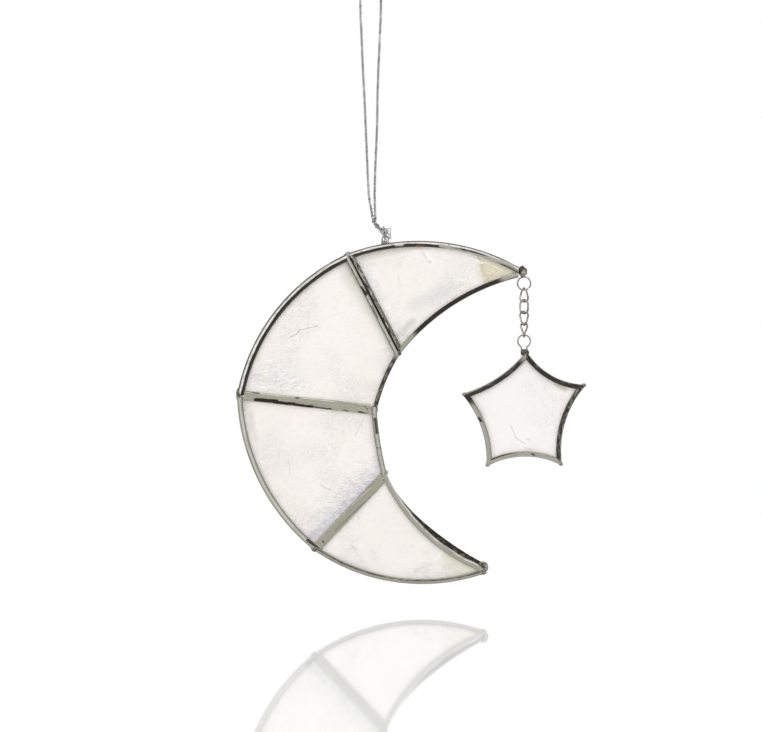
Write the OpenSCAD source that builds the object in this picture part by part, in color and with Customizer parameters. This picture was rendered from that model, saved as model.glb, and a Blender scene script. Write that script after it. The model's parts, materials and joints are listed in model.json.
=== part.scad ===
// Hanging crescent moon of shell panes in channel strips, with a framed star on a twisted chain.
// The crescent stands in the XZ plane and faces -Y. The origin is where the cord's loop bears on a hook.

/* [Crescent] */
// Width of the crescent, from its back to the cut end of the upper horn
moon_w = 97.9; // [80:0.1:120]
// Height of the crescent
moon_h = 120; // [98:1:146]
// How far the two tips are cut back from their points, upper then lower
tip_cut = [4.5, 3.9]; // [3.4:0.1:5.4]
// Place of the hanging eyelet along the top edge, from the crescent's back
hanger_at = 51.5; // [44:0.1:60]

/* [Channel strips] */
// Thickness of every strip, front to back
came_depth = 2.4; // [2:0.1:3.4]
// Thickness of a strip's web, at its outer edge
web = 0.7; // [0.5:0.05:1]
// Radius of a strip's outer corners
round_r = 0.6; // [0.3:0.05:0.8]
// Face width of the outer strips: top horn, upper, lower, bottom horn
outer_face = [2.1, 2.45, 1.95, 1.65]; // [1.4:0.05:2.6]
// Face width of the inner strips: top horn, upper, lower, bottom horn
inner_face = [1.6, 1.5, 1.8, 1.8]; // [1.2:0.05:2.4]
// Face width of each of the two strips side by side between top horn and upper pane
pair_face = 1.6; // [1.4:0.05:2.4]
// Face width of the two double-grooved dividers
divider_face = 3.3; // [2.6:0.1:4.4]
// Face width of the star's strips
star_face = 1.75; // [1.4:0.05:2.2]
// How far the bottom horn's inner strip flares out at its back
flare = 1.9; // [1:0.1:2.4]

/* [Shell panes] */
// Thickness of a pane
pane_t = 0.8; // [0.5:0.05:1.1]
// Clearance of a pane in its groove, each side
pane_gap = 0.05; // [0.03:0.01:0.1]

/* [Star] */
// Width of the star over its left and right points
star_w = 43.5; // [34:0.1:52]
// Height of the star
star_h = 40.4; // [32:0.1:48]

/* [Rings and chain] */
// Wire of the tip ring and the eyelets
ring_wire = 0.54; // [0.4:0.02:0.6]
// Outer diameter of the tip ring
ring_od = 5.1; // [4.4:0.1:6.4]
// Outer diameter of the star's eyelet
star_ring_od = 4.9; // [4.2:0.1:6]
// Outer diameter of the hanging eyelet
hanger_od = 2.8; // [2.7:0.05:3.2]
// Wire of a chain link
link_wire = 0.65; // [0.5:0.01:0.7]
// Length of a chain link, outside
link_len = 5.45; // [5:0.05:6.4]
// Width of a chain link, outside
link_w = 3.5; // [3.3:0.05:3.9]
// Twist of a chain link from end to end
link_twist = 90; // [70:1:90]
// Clearance where a link hangs in the next
link_gap = 0.08; // [0.05:0.01:0.15]

/* [Cord] */
// Diameter of the cord
cord_d = 0.95; // [0.8:0.05:1]
// Diameter of the knot
knot_d = 3; // [2.6:0.1:3.4]

/* [Solder] */
// How far solder stands proud of the strips' faces
solder_rise = 0.2; // [0.15:0.05:0.5]
// Clearance between pieces that are soldered together
seam = 0.02; // [0.01:0.01:0.05]

/* [Hidden] */
$fn = 64;

silver = [0.75, 0.74, 0.7];
dull_silver = [0.62, 0.6, 0.52];
pearl = [0.95, 0.94, 0.92];
cord_grey = [0.72, 0.73, 0.76];

// Corners of the crescent's outline, as shares of its width and height
function spot(u, v) = [u * moon_w, v * moon_h];
top_out = spot(0.393, 0.962);
top_in = spot(0.578, 0.669);
middle_out = spot(-0.002, 0.551);
middle_in = spot(0.496, 0.507);
slant_out = spot(0.272, 0.1);
slant_in = spot(0.531, 0.323);
upper_tip = spot(1.046, 0.9);
lower_tip = spot(0.91, 0.042);

// Sides [start, end, bow], with the pane on the left hand; a bow is a share of the chord, hollow if < 0
top_outer = [upper_tip, top_out, 0.119];
top_inner = [top_in, upper_tip, -0.092];
top_seam = [top_out, top_in, 0];
upper_outer = [top_out, middle_out, 0.1225];
upper_inner = [middle_in, top_in, -0.041];
upper_seam = [top_in, top_out, 0];
middle_line = [middle_out, middle_in, 0];
lower_outer = [middle_out, slant_out, 0.109];
lower_inner = [slant_in, middle_in, -0.023];
slant_line = [slant_out, slant_in, 0];
bottom_outer = [slant_out, lower_tip, 0.126];
bottom_inner = [lower_tip, slant_in, -0.108];

// The star's corners, from its top point against the clock, and the bows of its hollow sides
star_top = [0, 0];
function star_spot(u, v) = [u * star_w, -v * star_h];
star_corners = [star_top, star_spot(-0.519, 0.37), star_spot(-0.321, 1), star_spot(0.288, 0.992),
  star_spot(0.481, 0.29)];
star_bows = [-0.08, -0.1, -0.13, -0.115, -0.13];
star_hang = -0.8;
function star_side(i) = [star_corners[i], star_corners[(i + 1) % 5], star_bows[i]];

reach = 14;
groove = pane_t + 2 * pane_gap;

// Curved sides
function chord(s) = s[1] - s[0];
function span(s) = norm(chord(s));
function heading(v) = atan2(v[1], v[0]);
function leftward(a) = [-sin(a), cos(a)];
function radius(s) = span(s) * (0.25 + s[2] * s[2]) / (2 * abs(s[2]));
function half_turn(s) = s[2] == 0 ? 0 : asin(span(s) / 2 / radius(s));
function start_heading(s) = heading(chord(s)) - sign(s[2]) * half_turn(s);
function end_heading(s) = heading(chord(s)) + sign(s[2]) * half_turn(s);
function hub(s) = s[0] + sign(s[2]) * radius(s) * leftward(start_heading(s));

// From the corner where side a runs into side b to the corner of their inner edges
function inner_corner(a, face_a, b, face_b) =
  let (n = leftward(end_heading(a)), m = leftward(start_heading(b)), d = n[0] * m[1] - n[1] * m[0])
  [face_a * m[1] - face_b * n[1], n[0] * face_b - m[0] * face_a] / d;

// Cuts [point, heading of the cut line, side taken away], at a side's start or end
function cut_at(point, line, ahead) = [point, heading(line), cross(line, ahead) > 0 ? -1 : 1];
function start_cut(s, line) =
  cut_at(s[0], line, [cos(start_heading(s)), sin(start_heading(s))]);
function end_cut(s, line) =
  cut_at(s[1], line, -[cos(end_heading(s)), sin(end_heading(s))]);
function start_mitre(s, face, before, face_before) =
  start_cut(s, inner_corner(before, face_before, s, face));
function end_mitre(s, face, after, face_after) =
  end_cut(s, inner_corner(s, face, after, face_after));
function tip_end(tip, back) = [tip - [back, 0], 90, -1];

module cut_away(cut) {
  translate(cut[0])
    rotate(cut[1])
      translate([-reach, cut[2] > 0 ? -seam / 2 : seam / 2 - reach, -reach / 2])
        cube([2 * reach, reach, reach]);
}

// Profiles: u runs inwards from the outer edge, v from the mid-plane to the front
function quarter(c, r, from) = [for (i = [0 : 4]) c + r * [cos(from + 22.5 * i), sin(from + 22.5 * i)]];

module channel_profile(face) {
  h = came_depth / 2;
  polygon(concat(
    [[face, h]],
    quarter([round_r, h - round_r], round_r, 90),
    quarter([round_r, round_r - h], round_r, 180),
    [[face, -h], [face, -groove / 2], [web, -groove / 2], [web, groove / 2], [face, groove / 2]]
  ));
}

module divider_profile(face) {
  h = came_depth / 2;
  crown = 0.35;
  half = concat(
    [[web / 2, groove / 2], [face / 2, groove / 2]],
    quarter([face / 2 - crown, h - crown], crown, 0)
  );
  flipped = [for (i = [len(half) - 1 : -1 : 0]) [-half[i][0], half[i][1]]];
  top = concat(half, flipped);
  polygon(concat(top, [for (p = top) -p]));
}

module along(side) {
  translate(side[0])
    rotate(heading(chord(side)))
      translate([-reach / 2, 0, 0])
        rotate([90, 0, 90])
          linear_extrude(span(side) + reach)
            children();
}

module around(side) {
  spare = reach / 4 / radius(side) * 180 / PI;
  sweep = 2 * half_turn(side);
  first = sign(side[2]) > 0 ? heading(side[0] - hub(side)) : heading(side[1] - hub(side));
  translate(hub(side))
    rotate(first - spare)
      rotate_extrude(angle = sweep + 2 * spare, $fn = 360)
        translate([radius(side), 0])
          mirror([side[2] > 0 ? 1 : 0, 0])
            children();
}

module band(side) {
  if (side[2] == 0)
    along(side) children();
  else
    around(side) children();
}

// One channel strip, cut at its ends
module came(side, face, cuts) {
  difference() {
    band(side) channel_profile(face);
    for (cut = cuts)
      cut_away(cut);
  }
}

// What lies inside a side by an inset: a disc, or a half-plane
module inside(side, inset) {
  if (side[2] > 0)
    translate(hub(side)) circle(radius(side) - inset, $fn = 720);
  else if (side[2] == 0)
    translate(side[0])
      rotate(heading(chord(side)))
        translate([-6 * reach, inset])
          square([span(side) + 12 * reach, 12 * reach]);
}

// What lies beyond a hollow side
module beyond(side, inset) {
  if (side[2] < 0)
    translate(hub(side)) circle(radius(side) + inset, $fn = 720);
}

// Flat plate within sides, each given with its inset
module plate(bounds, thick) {
  linear_extrude(thick, center = true)
    difference() {
      intersection_for (b = [for (b = bounds) if (b[0][2] >= 0) b])
        inside(b[0], b[1]);
      for (b = bounds)
        beyond(b[0], b[1]);
    }
}

pane_inset = web + pane_gap;
divider_inset = web / 2 + pane_gap;
upper_tip_line = [upper_tip - [tip_cut[0], 0], upper_tip - [tip_cut[0], -1], 0];
lower_tip_line = [lower_tip - [tip_cut[1], 0], lower_tip - [tip_cut[1], -1], 0];

// Places in the crescent's own plane
hanger_seat_y = hub(top_outer)[1] + sqrt(pow(radius(top_outer), 2) - pow(hanger_at - hub(top_outer)[0], 2));
hanger_c = [hanger_at, hanger_seat_y + hanger_od / 2 + seam];
tip_lump_r = 1.95;
tip_lump_c = upper_tip - [3.1, -1.1];
ring_major = (ring_od - ring_wire) / 2;
ring_c = tip_lump_c + [0.55, -(tip_lump_r + ring_od / 2 - 0.35)];
chain_x = ring_c[0];
link_bar = link_len - link_wire;
ring_bottom = ring_c[1] - ring_major;
first_top = ring_bottom + (ring_wire + link_wire) / 2 + link_gap;
pitch = link_bar - link_wire - link_gap;
function link_y(i) = first_top - i * pitch - link_bar / 2;
last_bottom = link_y(3) - link_bar / 2;
star_ring_major = (star_ring_od - ring_wire) / 2;
star_ring_c = [chain_x, last_bottom + (ring_wire + link_wire) / 2 + link_gap - star_ring_major];
leg_x = 0.95;
leg_drop = 3.4;
star_c = [chain_x - star_hang, star_ring_c[1] - leg_drop];
link_spins = [-35, -5, 25, 55];

// Places in the upright frame
cord_r = cord_d / 2;
eyelet_at = [5.1, -92.1];
hanger_major = (hanger_od - ring_wire) / 2;
bight_at = eyelet_at + [0, hanger_major];
knot_at = [4.9, -88.9];
neck_x = 1.2;
strands_end = -84.8;
neck_end = -87.05;
swivel_r = 0.9;
swivel_at = [neck_x, neck_end - 0.06 - swivel_r];

// The crescent's plane stood upright, with its eyelet at the cord's bight
module upright() {
  translate([eyelet_at[0] - hanger_c[0], 0, eyelet_at[1] - hanger_c[1]])
    rotate([90, 0, 0])
      children();
}

// Cord: the loop's route, left strand up, over the hook and right strand down
cord_route = [
  [0.7, -84.8], [0.2, -81.8], [-0.6, -77], [-1, -70], [-1.3, -63], [-1.6, -56], [-1.9, -49], [-2.2, -42],
  [-2.6, -35], [-2.9, -28], [-3.2, -21], [-3.5, -14], [-3.6, -8], [-3.6, -3.2], [-3, -1.2], [-1.7, 0.1],
  [0, 0.5], [1.7, 0.1], [3, -1.2], [3.6, -3.2], [3.6, -8], [3.5, -14], [3.2, -21], [2.9, -28],
  [2.6, -35], [2.4, -42], [2.3, -49], [2.1, -56], [1.8, -63], [1.5, -70], [1.4, -77], [1.5, -81.8],
  [1.7, -84.8]
];
route_steps = 2;
function blend(a, b, c, d, t) =
  (2 * b + t * (c - a) + t * t * (2 * a - 5 * b + 4 * c - d) + t * t * t * (3 * b - a - 3 * c + d)) / 2;
function at_route(i) = cord_route[max(0, min(len(cord_route) - 1, i))];
route = [
  for (i = [0 : len(cord_route) - 2], k = [0 : route_steps - 1])
    blend(at_route(i - 1), at_route(i), at_route(i + 1), at_route(i + 2), k / route_steps),
  cord_route[len(cord_route) - 1]
];
function run_at(p, i) =
  let (v = i == 0 || i == len(p) - 1 ? [0, p[1][1] - p[0][1]] * (i == 0 ? 1 : -1) : p[i + 1] - p[i - 1])
  v / norm(v);

// A tube swept along centre points, with a frame [across, out] at each; closed joins its ends
function tube_points(centres, frames, r, sides) = [
  for (k = [0 : len(centres) - 1], j = [0 : sides - 1])
    centres[k] + r * (cos(360 * j / sides) * frames[k][0] + sin(360 * j / sides) * frames[k][1])
];
function tube_skin(rings, sides, closed) = [
  for (k = [0 : rings - (closed ? 1 : 2)], j = [0 : sides - 1], half = [0, 1])
    let (a = k * sides, b = (k + 1) % rings * sides, n = (j + 1) % sides)
      half == 0 ? [a + j, b + j, b + n] : [a + j, b + n, a + n]
];
module tube(centres, frames, r, sides, closed) {
  n = len(centres);
  ends = closed ? [] : [[for (j = [0 : sides - 1]) j], [for (j = [sides - 1 : -1 : 0]) (n - 1) * sides + j]];
  polyhedron(tube_points(centres, frames, r, sides), concat(tube_skin(n, sides, closed), ends));
}

module hanging_cord() {
  color(cord_grey)
    tube(
      [for (p = route) [p[0], 0, p[1]]],
      [for (i = [0 : len(route) - 1]) let (v = run_at(route, i)) [[0, 1, 0], [-v[1], 0, v[0]]]],
      cord_r, 8, false
    );
}

module cord_neck() {
  color(cord_grey)
    translate([neck_x, 0, neck_end])
      cylinder(h = strands_end - 0.06 - neck_end, r = cord_d);
}

module cord_knot() {
  lean = knot_at - swivel_at;
  color(cord_grey) {
    translate([swivel_at[0], 0, swivel_at[1]]) {
      sphere(swivel_r);
      rotate([0, 90 - heading(lean), 0])
        cylinder(h = norm(lean), r = swivel_r * 0.8);
    }
    translate([knot_at[0], 0, knot_at[1]])
      sphere(knot_d / 2);
  }
}

bight_r = (ring_wire + cord_d) / 2 + 0.15;
module cord_bight() {
  color(cord_grey)
    difference() {
      translate([bight_at[0], 0, bight_at[1]]) {
        rotate([90, 0, 90])
          rotate(180)
            rotate_extrude(angle = 180)
              translate([bight_r, 0])
                circle(cord_r);
        for (s = [-1, 1])
          translate([0, s * bight_r, 0])
            cylinder(h = 2, r = cord_r);
      }
      translate([knot_at[0], 0, knot_at[1]])
        sphere(knot_d / 2 + seam);
      translate([knot_at[0] - 3, -3, knot_at[1]])
        cube(6);
    }
}

// Wire ring in the crescent's plane
module wire_ring(major, wire, start = 0, angle = 360) {
  rotate(start)
    rotate_extrude(angle = angle)
      translate([major, 0])
        circle(wire / 2, $fn = 32);
}

module hanger_eyelet() {
  color(silver)
    upright()
      translate(hanger_c)
        wire_ring(hanger_major, ring_wire);
}

module hanger_solder() {
  color(silver)
    upright()
      difference() {
        translate(hanger_c - [0, hanger_od / 2])
          lump(1.1, 1.5);
        slab(top_outer, 0);
        translate(hanger_c)
          wire_ring(hanger_major, ring_wire + 2 * seam);
      }
}

// A round-edged lump of solder: radius and thickness
module lump(r, thick) {
  edge = thick * 0.2;
  rotate_extrude()
    polygon(concat(
      [[0, -thick / 2]],
      quarter([r - edge, edge - thick / 2], edge, 270),
      quarter([r - edge, thick / 2 - edge], edge, 0),
      [[0, thick / 2]]
    ));
}

// The space that the strips along a side take, for solder to lie on
module slab(side, inset) {
  linear_extrude(came_depth + 2 * seam, center = true)
    inside(side, inset - seam);
}

module pane_top_horn() {
  color(pearl)
    upright()
      plate([[top_seam, pane_inset], [top_inner, pane_inset], [top_outer, pane_inset],
        [upper_tip_line, pane_gap]], pane_t);
}

module pane_upper() {
  color(pearl)
    upright()
      plate([[upper_outer, pane_inset], [middle_line, divider_inset], [upper_inner, pane_inset],
        [upper_seam, pane_inset]], pane_t);
}

module pane_lower() {
  color(pearl)
    upright()
      plate([[lower_outer, pane_inset], [slant_line, divider_inset], [lower_inner, pane_inset],
        [[middle_in, middle_out, 0], divider_inset]], pane_t);
}

module pane_bottom_horn() {
  color(pearl)
    upright()
      plate([[bottom_outer, pane_inset], [bottom_inner, pane_inset],
        [[slant_in, slant_out, 0], divider_inset], [lower_tip_line, pane_gap]], pane_t);
}

module came_top_outer() {
  color(silver)
    upright()
      came(top_outer, outer_face[0], [
        start_mitre(top_outer, outer_face[0], top_inner, inner_face[0]),
        tip_end(upper_tip, tip_cut[0]),
        end_mitre(top_outer, outer_face[0], top_seam, pair_face)
      ]);
}

module came_top_inner() {
  color(dull_silver)
    upright()
      came(top_inner, inner_face[0], [
        start_mitre(top_inner, inner_face[0], top_seam, pair_face),
        tip_end(upper_tip, tip_cut[0]),
        end_mitre(top_inner, inner_face[0], top_outer, outer_face[0])
      ]);
}

module came_top_divider() {
  color(dull_silver)
    upright()
      came(top_seam, pair_face, [
        start_mitre(top_seam, pair_face, top_outer, outer_face[0]),
        end_mitre(top_seam, pair_face, top_inner, inner_face[0])
      ]);
}

module came_upper_outer() {
  color(silver)
    upright()
      came(upper_outer, outer_face[1], [
        start_mitre(upper_outer, outer_face[1], upper_seam, pair_face),
        end_cut(upper_outer, chord(middle_line))
      ]);
}

module came_upper_inner() {
  color(dull_silver)
    upright()
      came(upper_inner, inner_face[1], [
        start_cut(upper_inner, chord(middle_line)),
        end_mitre(upper_inner, inner_face[1], upper_seam, pair_face)
      ]);
}

module came_upper_divider() {
  color(silver)
    upright()
      came(upper_seam, pair_face, [
        start_mitre(upper_seam, pair_face, upper_inner, inner_face[1]),
        end_mitre(upper_seam, pair_face, upper_outer, outer_face[1])
      ]);
}

// A double-grooved strip between the inner edges of the strips at its ends
module divider(line, outers, inners) {
  difference() {
    intersection() {
      along(line) divider_profile(divider_face);
      linear_extrude(2 * came_depth, center = true)
        intersection_for (s = outers)
          inside(s[0], s[1] + seam);
    }
    linear_extrude(2 * came_depth, center = true)
      for (s = inners)
        beyond(s[0], s[1] + seam);
  }
}

module came_middle_divider() {
  color(dull_silver)
    upright()
      divider(middle_line, [[upper_outer, outer_face[1]], [lower_outer, outer_face[2]]],
        [[upper_inner, inner_face[1]], [lower_inner, inner_face[2]]]);
}

module came_lower_outer() {
  color(dull_silver)
    upright()
      came(lower_outer, outer_face[2], [
        start_cut(lower_outer, chord(middle_line)),
        end_cut(lower_outer, chord(slant_line))
      ]);
}

module came_lower_inner() {
  color(dull_silver)
    upright()
      came(lower_inner, inner_face[2], [
        start_cut(lower_inner, chord(slant_line)),
        end_cut(lower_inner, chord(middle_line))
      ]);
}

module came_slant_divider() {
  color(dull_silver)
    upright()
      divider(slant_line, [[lower_outer, outer_face[2]], [bottom_outer, outer_face[3]]],
        [[lower_inner, inner_face[2]], [bottom_inner, inner_face[3]]]);
}

module came_bottom_outer() {
  color(dull_silver)
    upright()
      came(bottom_outer, outer_face[3], [
        start_cut(bottom_outer, chord(slant_line)),
        end_mitre(bottom_outer, outer_face[3], bottom_inner, inner_face[3]),
        tip_end(lower_tip, tip_cut[1])
      ]);
}

// The point at a share t of an arc's turn
function arc_point(s, t) =
  hub(s) - sign(s[2]) * radius(s) * leftward(start_heading(s) + 2 * sign(s[2]) * half_turn(s) * t);

// The wall of the bottom horn's inner strip leans outwards, most of all in its lower half
module flared_wall() {
  steps = 18;
  from = 0.09;
  to = 0.9;
  sunk = 0.3;
  h = came_depth / 2;
  stations = [for (i = [0 : steps]) from + (to - from) * i / steps];
  corners = [for (t = stations)
    let (
      p = arc_point(bottom_inner, t),
      out = (p - hub(bottom_inner)) / radius(bottom_inner),
      sink = p + out * sunk,
      back = p - out * flare * pow(sin(180 * (to - t) / 1.1), 1.5)
    )
    each [[sink[0], sink[1], h - round_r], [sink[0], sink[1], -h], [back[0], back[1], -h]]
  ];
  n = len(stations);
  skin = [for (k = [0 : n - 2], j = [0 : 2], half = [0, 1])
    let (a = k * 3, b = a + 3, m = (j + 1) % 3)
      half == 0 ? [a + j, b + m, b + j] : [a + j, a + m, b + m]
  ];
  polyhedron(corners, concat(skin, [[2, 1, 0], [3 * n - 3, 3 * n - 2, 3 * n - 1]]));
}

module came_bottom_inner() {
  color(dull_silver)
    upright() {
      came(bottom_inner, inner_face[3], [
        start_mitre(bottom_inner, inner_face[3], bottom_outer, outer_face[3]),
        tip_end(lower_tip, tip_cut[1]),
        end_cut(bottom_inner, chord(slant_line))
      ]);
      flared_wall();
    }
}

// Solder on a joint: a round-edged lump that clips round the strips' outer edge. bulge is how far it
// stands out past the corner, along the given heading.
module joint_solder(corner, r, bulge, toward) {
  difference() {
    translate(corner + (bulge - r) * [cos(toward), sin(toward)])
      lump(r, came_depth + 2 * solder_rise);
    linear_extrude(came_depth + 2 * seam, center = true)
      children();
  }
}

// The outline near a corner, for solder to clip round: of two full sides, or of two hollow ones
module full_corner(a, b) {
  intersection() {
    inside(a, -seam);
    inside(b, -seam);
  }
}

module hollow_corner(a, b) {
  difference() {
    translate(a[1] - [reach, reach])
      square(2 * reach);
    intersection() {
      beyond(a, -seam);
      beyond(b, -seam);
    }
  }
}

module solder_outer_top() {
  color(silver)
    upright()
      joint_solder(top_out, 1.6, 0.45, 118)
        full_corner(top_outer, upper_outer);
}

module solder_inner_top() {
  color(silver)
    upright()
      joint_solder(top_in, 1.4, 0.2, -40)
        hollow_corner(upper_inner, top_inner);
}

module solder_outer_middle() {
  color(silver)
    upright()
      joint_solder(middle_out, 1.5, 0.45, 180)
        full_corner(upper_outer, lower_outer);
}

module solder_inner_middle() {
  color(silver)
    upright()
      joint_solder(middle_in, 1.5, 0.2, 0)
        hollow_corner(lower_inner, upper_inner);
}

module solder_outer_slant() {
  color(silver)
    upright()
      joint_solder(slant_out, 1.6, 0.35, 225)
        full_corner(lower_outer, bottom_outer);
}

module solder_inner_slant() {
  color(silver)
    upright()
      joint_solder(slant_in, 1.5, 0.25, 20)
        hollow_corner(bottom_inner, lower_inner);
}

// Solder round the cut ends of the strips at a tip
module tip_solder(tip, back, centre, r) {
  difference() {
    translate(centre)
      lump(r, came_depth + 2 * solder_rise);
    linear_extrude(came_depth + 2 * seam, center = true)
      translate(tip - [back + reach, reach / 2])
        square(reach + seam);
    children();
  }
}

module tip_solder_upper() {
  color(silver)
    upright()
      tip_solder(upper_tip, tip_cut[0], tip_lump_c, tip_lump_r)
        translate(ring_c)
          wire_ring(ring_major, ring_wire + 2 * seam);
}

module tip_solder_lower() {
  color(silver)
    upright()
      tip_solder(lower_tip, tip_cut[1], lower_tip - [3.1, 0], 1.6);
}

module tip_ring() {
  split = 8;
  color(silver)
    upright()
      translate(ring_c)
        wire_ring(ring_major, ring_wire, start = split - 50, angle = 360 - split);
}

// Twisted oval link: a stadium whose two ends are turned against each other
link_rings = 28;
link_sides = 8;
function stadium(t, r, straight) =
  let (half = PI * r, whole = 2 * (half + straight), d = t * whole)
  d < half ? [r * cos(d / half * 180), straight / 2 + r * sin(d / half * 180)]
  : d < half + straight ? [-r, straight / 2 - (d - half)]
  : d < 2 * half + straight
    ? let (a = 180 + (d - half - straight) / half * 180) [r * cos(a), -straight / 2 + r * sin(a)]
  : [r, -straight / 2 + (d - 2 * half - straight)];
function turned(p, up) =
  let (a = link_twist * p[1] / link_bar) [p[0] * cos(-a), p[0] * sin(-a), p[1]];
function link_at(t) =
  turned(stadium(t - floor(t), (link_w - link_wire) / 2, link_bar - link_w + link_wire));

module chain_link(i) {
  centres = [for (k = [0 : link_rings - 1]) link_at(k / link_rings)];
  frames = [for (k = [0 : link_rings - 1])
    let (
      run = link_at((k + 0.2) / link_rings) - link_at((k - 0.2) / link_rings),
      a = -link_twist * centres[k][2] / link_bar,
      flat = [-sin(a), cos(a), 0],
      out = cross(run, flat) / norm(cross(run, flat))
    )
    [cross(out, run) / norm(run), out]
  ];
  color(silver)
    upright()
      translate([chain_x, link_y(i), 0])
        rotate([-90, 0, 0])
          rotate(link_spins[i])
            tube(centres, frames, link_wire / 2, link_sides, true);
}

module chain_link_1() {
  chain_link(0);
}

module chain_link_2() {
  chain_link(1);
}

module chain_link_3() {
  chain_link(2);
}

module chain_link_4() {
  chain_link(3);
}

// Star
module star_upright() {
  upright()
    translate(star_c)
      children();
}

// Path of the star's eyelet wire: up one leg, round the loop and down the other leg
leg_angle = 270 - asin(leg_x / star_ring_major);
leg_top = star_ring_major * sin(leg_angle);
function hollow_y(s, x) = hub(s)[1] - sqrt(pow(radius(s), 2) - pow(x - hub(s)[0], 2));
function leg_foot(side, x) = [x, hollow_y(side, x + star_hang - sign(x) * ring_wire / 2) - leg_drop + seam];
eyelet_path = concat(
  [leg_foot(star_side(0), -leg_x), [-leg_x, leg_top - 0.5], [-leg_x - 0.06, leg_top - 0.2]],
  [for (i = [0 : 20]) let (a = leg_angle - 4 - (leg_angle - 94) * i / 10) star_ring_major * [cos(a), sin(a)]],
  [[leg_x + 0.06, leg_top - 0.2], [leg_x, leg_top - 0.5], leg_foot(star_side(4), leg_x)]
);

module star_eyelet() {
  color(silver)
    upright()
      translate(star_ring_c)
        tube(
          [for (p = eyelet_path) [p[0], p[1], 0]],
          [for (i = [0 : len(eyelet_path) - 1]) let (v = run_at(eyelet_path, i)) [[0, 0, 1], [v[1], -v[0], 0]]],
          ring_wire / 2, 12, false
        );
}

module star_pane() {
  color(pearl)
    star_upright()
      linear_extrude(pane_t, center = true)
        difference() {
          polygon([for (i = [0 : 4])
            star_corners[i] + inner_corner(star_side((i + 4) % 5), pane_inset, star_side(i), pane_inset)]);
          for (i = [0 : 4])
            beyond(star_side(i), pane_inset);
        }
}

module star_came(i) {
  side = star_side(i);
  color(silver)
    star_upright()
      came(side, star_face, [
        start_mitre(side, star_face, star_side((i + 4) % 5), star_face),
        end_mitre(side, star_face, star_side((i + 1) % 5), star_face)
      ]);
}

module star_came_upper_left() {
  star_came(0);
}

module star_came_left() {
  star_came(1);
}

module star_came_bottom() {
  star_came(2);
}

module star_came_right() {
  star_came(3);
}

module star_came_upper_right() {
  star_came(4);
}

// Solder that clips round one of the star's points
module point_solder(i, r, bulge) {
  before = star_side((i + 4) % 5);
  after = star_side(i);
  toward = heading(-inner_corner(before, star_face, after, star_face));
  joint_solder(star_corners[i], r, bulge, toward)
    difference() {
      translate(star_corners[i] - [reach / 2, reach / 2])
        square(reach);
      beyond(before, -seam);
      beyond(after, -seam);
    }
}

module star_solder_top() {
  color(silver)
    star_upright()
      difference() {
        point_solder(0, 1.7, 0.7);
        for (x = [-leg_x, leg_x])
          translate([x + star_hang, 2])
            rotate([90, 0, 0])
              cylinder(h = 6, r = ring_wire / 2 + seam);
      }
}

module star_solder(i) {
  color(silver)
    star_upright()
      point_solder(i, 0.95, 0.15);
}

module star_solder_left() {
  star_solder(1);
}

module star_solder_lower_left() {
  star_solder(2);
}

module star_solder_lower_right() {
  star_solder(3);
}

module star_solder_right() {
  star_solder(4);
}

hanging_cord();
cord_neck();
cord_knot();
cord_bight();
hanger_eyelet();
hanger_solder();
pane_top_horn();
pane_upper();
pane_lower();
pane_bottom_horn();
came_top_outer();
came_top_inner();
came_top_divider();
came_upper_outer();
came_upper_inner();
came_upper_divider();
came_middle_divider();
came_lower_outer();
came_lower_inner();
came_slant_divider();
came_bottom_outer();
came_bottom_inner();
solder_outer_top();
solder_inner_top();
solder_outer_middle();
solder_inner_middle();
solder_outer_slant();
solder_inner_slant();
tip_solder_upper();
tip_solder_lower();
tip_ring();
chain_link_1();
chain_link_2();
chain_link_3();
chain_link_4();
star_eyelet();
star_pane();
star_came_upper_left();
star_came_left();
star_came_bottom();
star_came_right();
star_came_upper_right();
star_solder_top();
star_solder_left();
star_solder_lower_left();
star_solder_lower_right();
star_solder_right();
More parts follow.
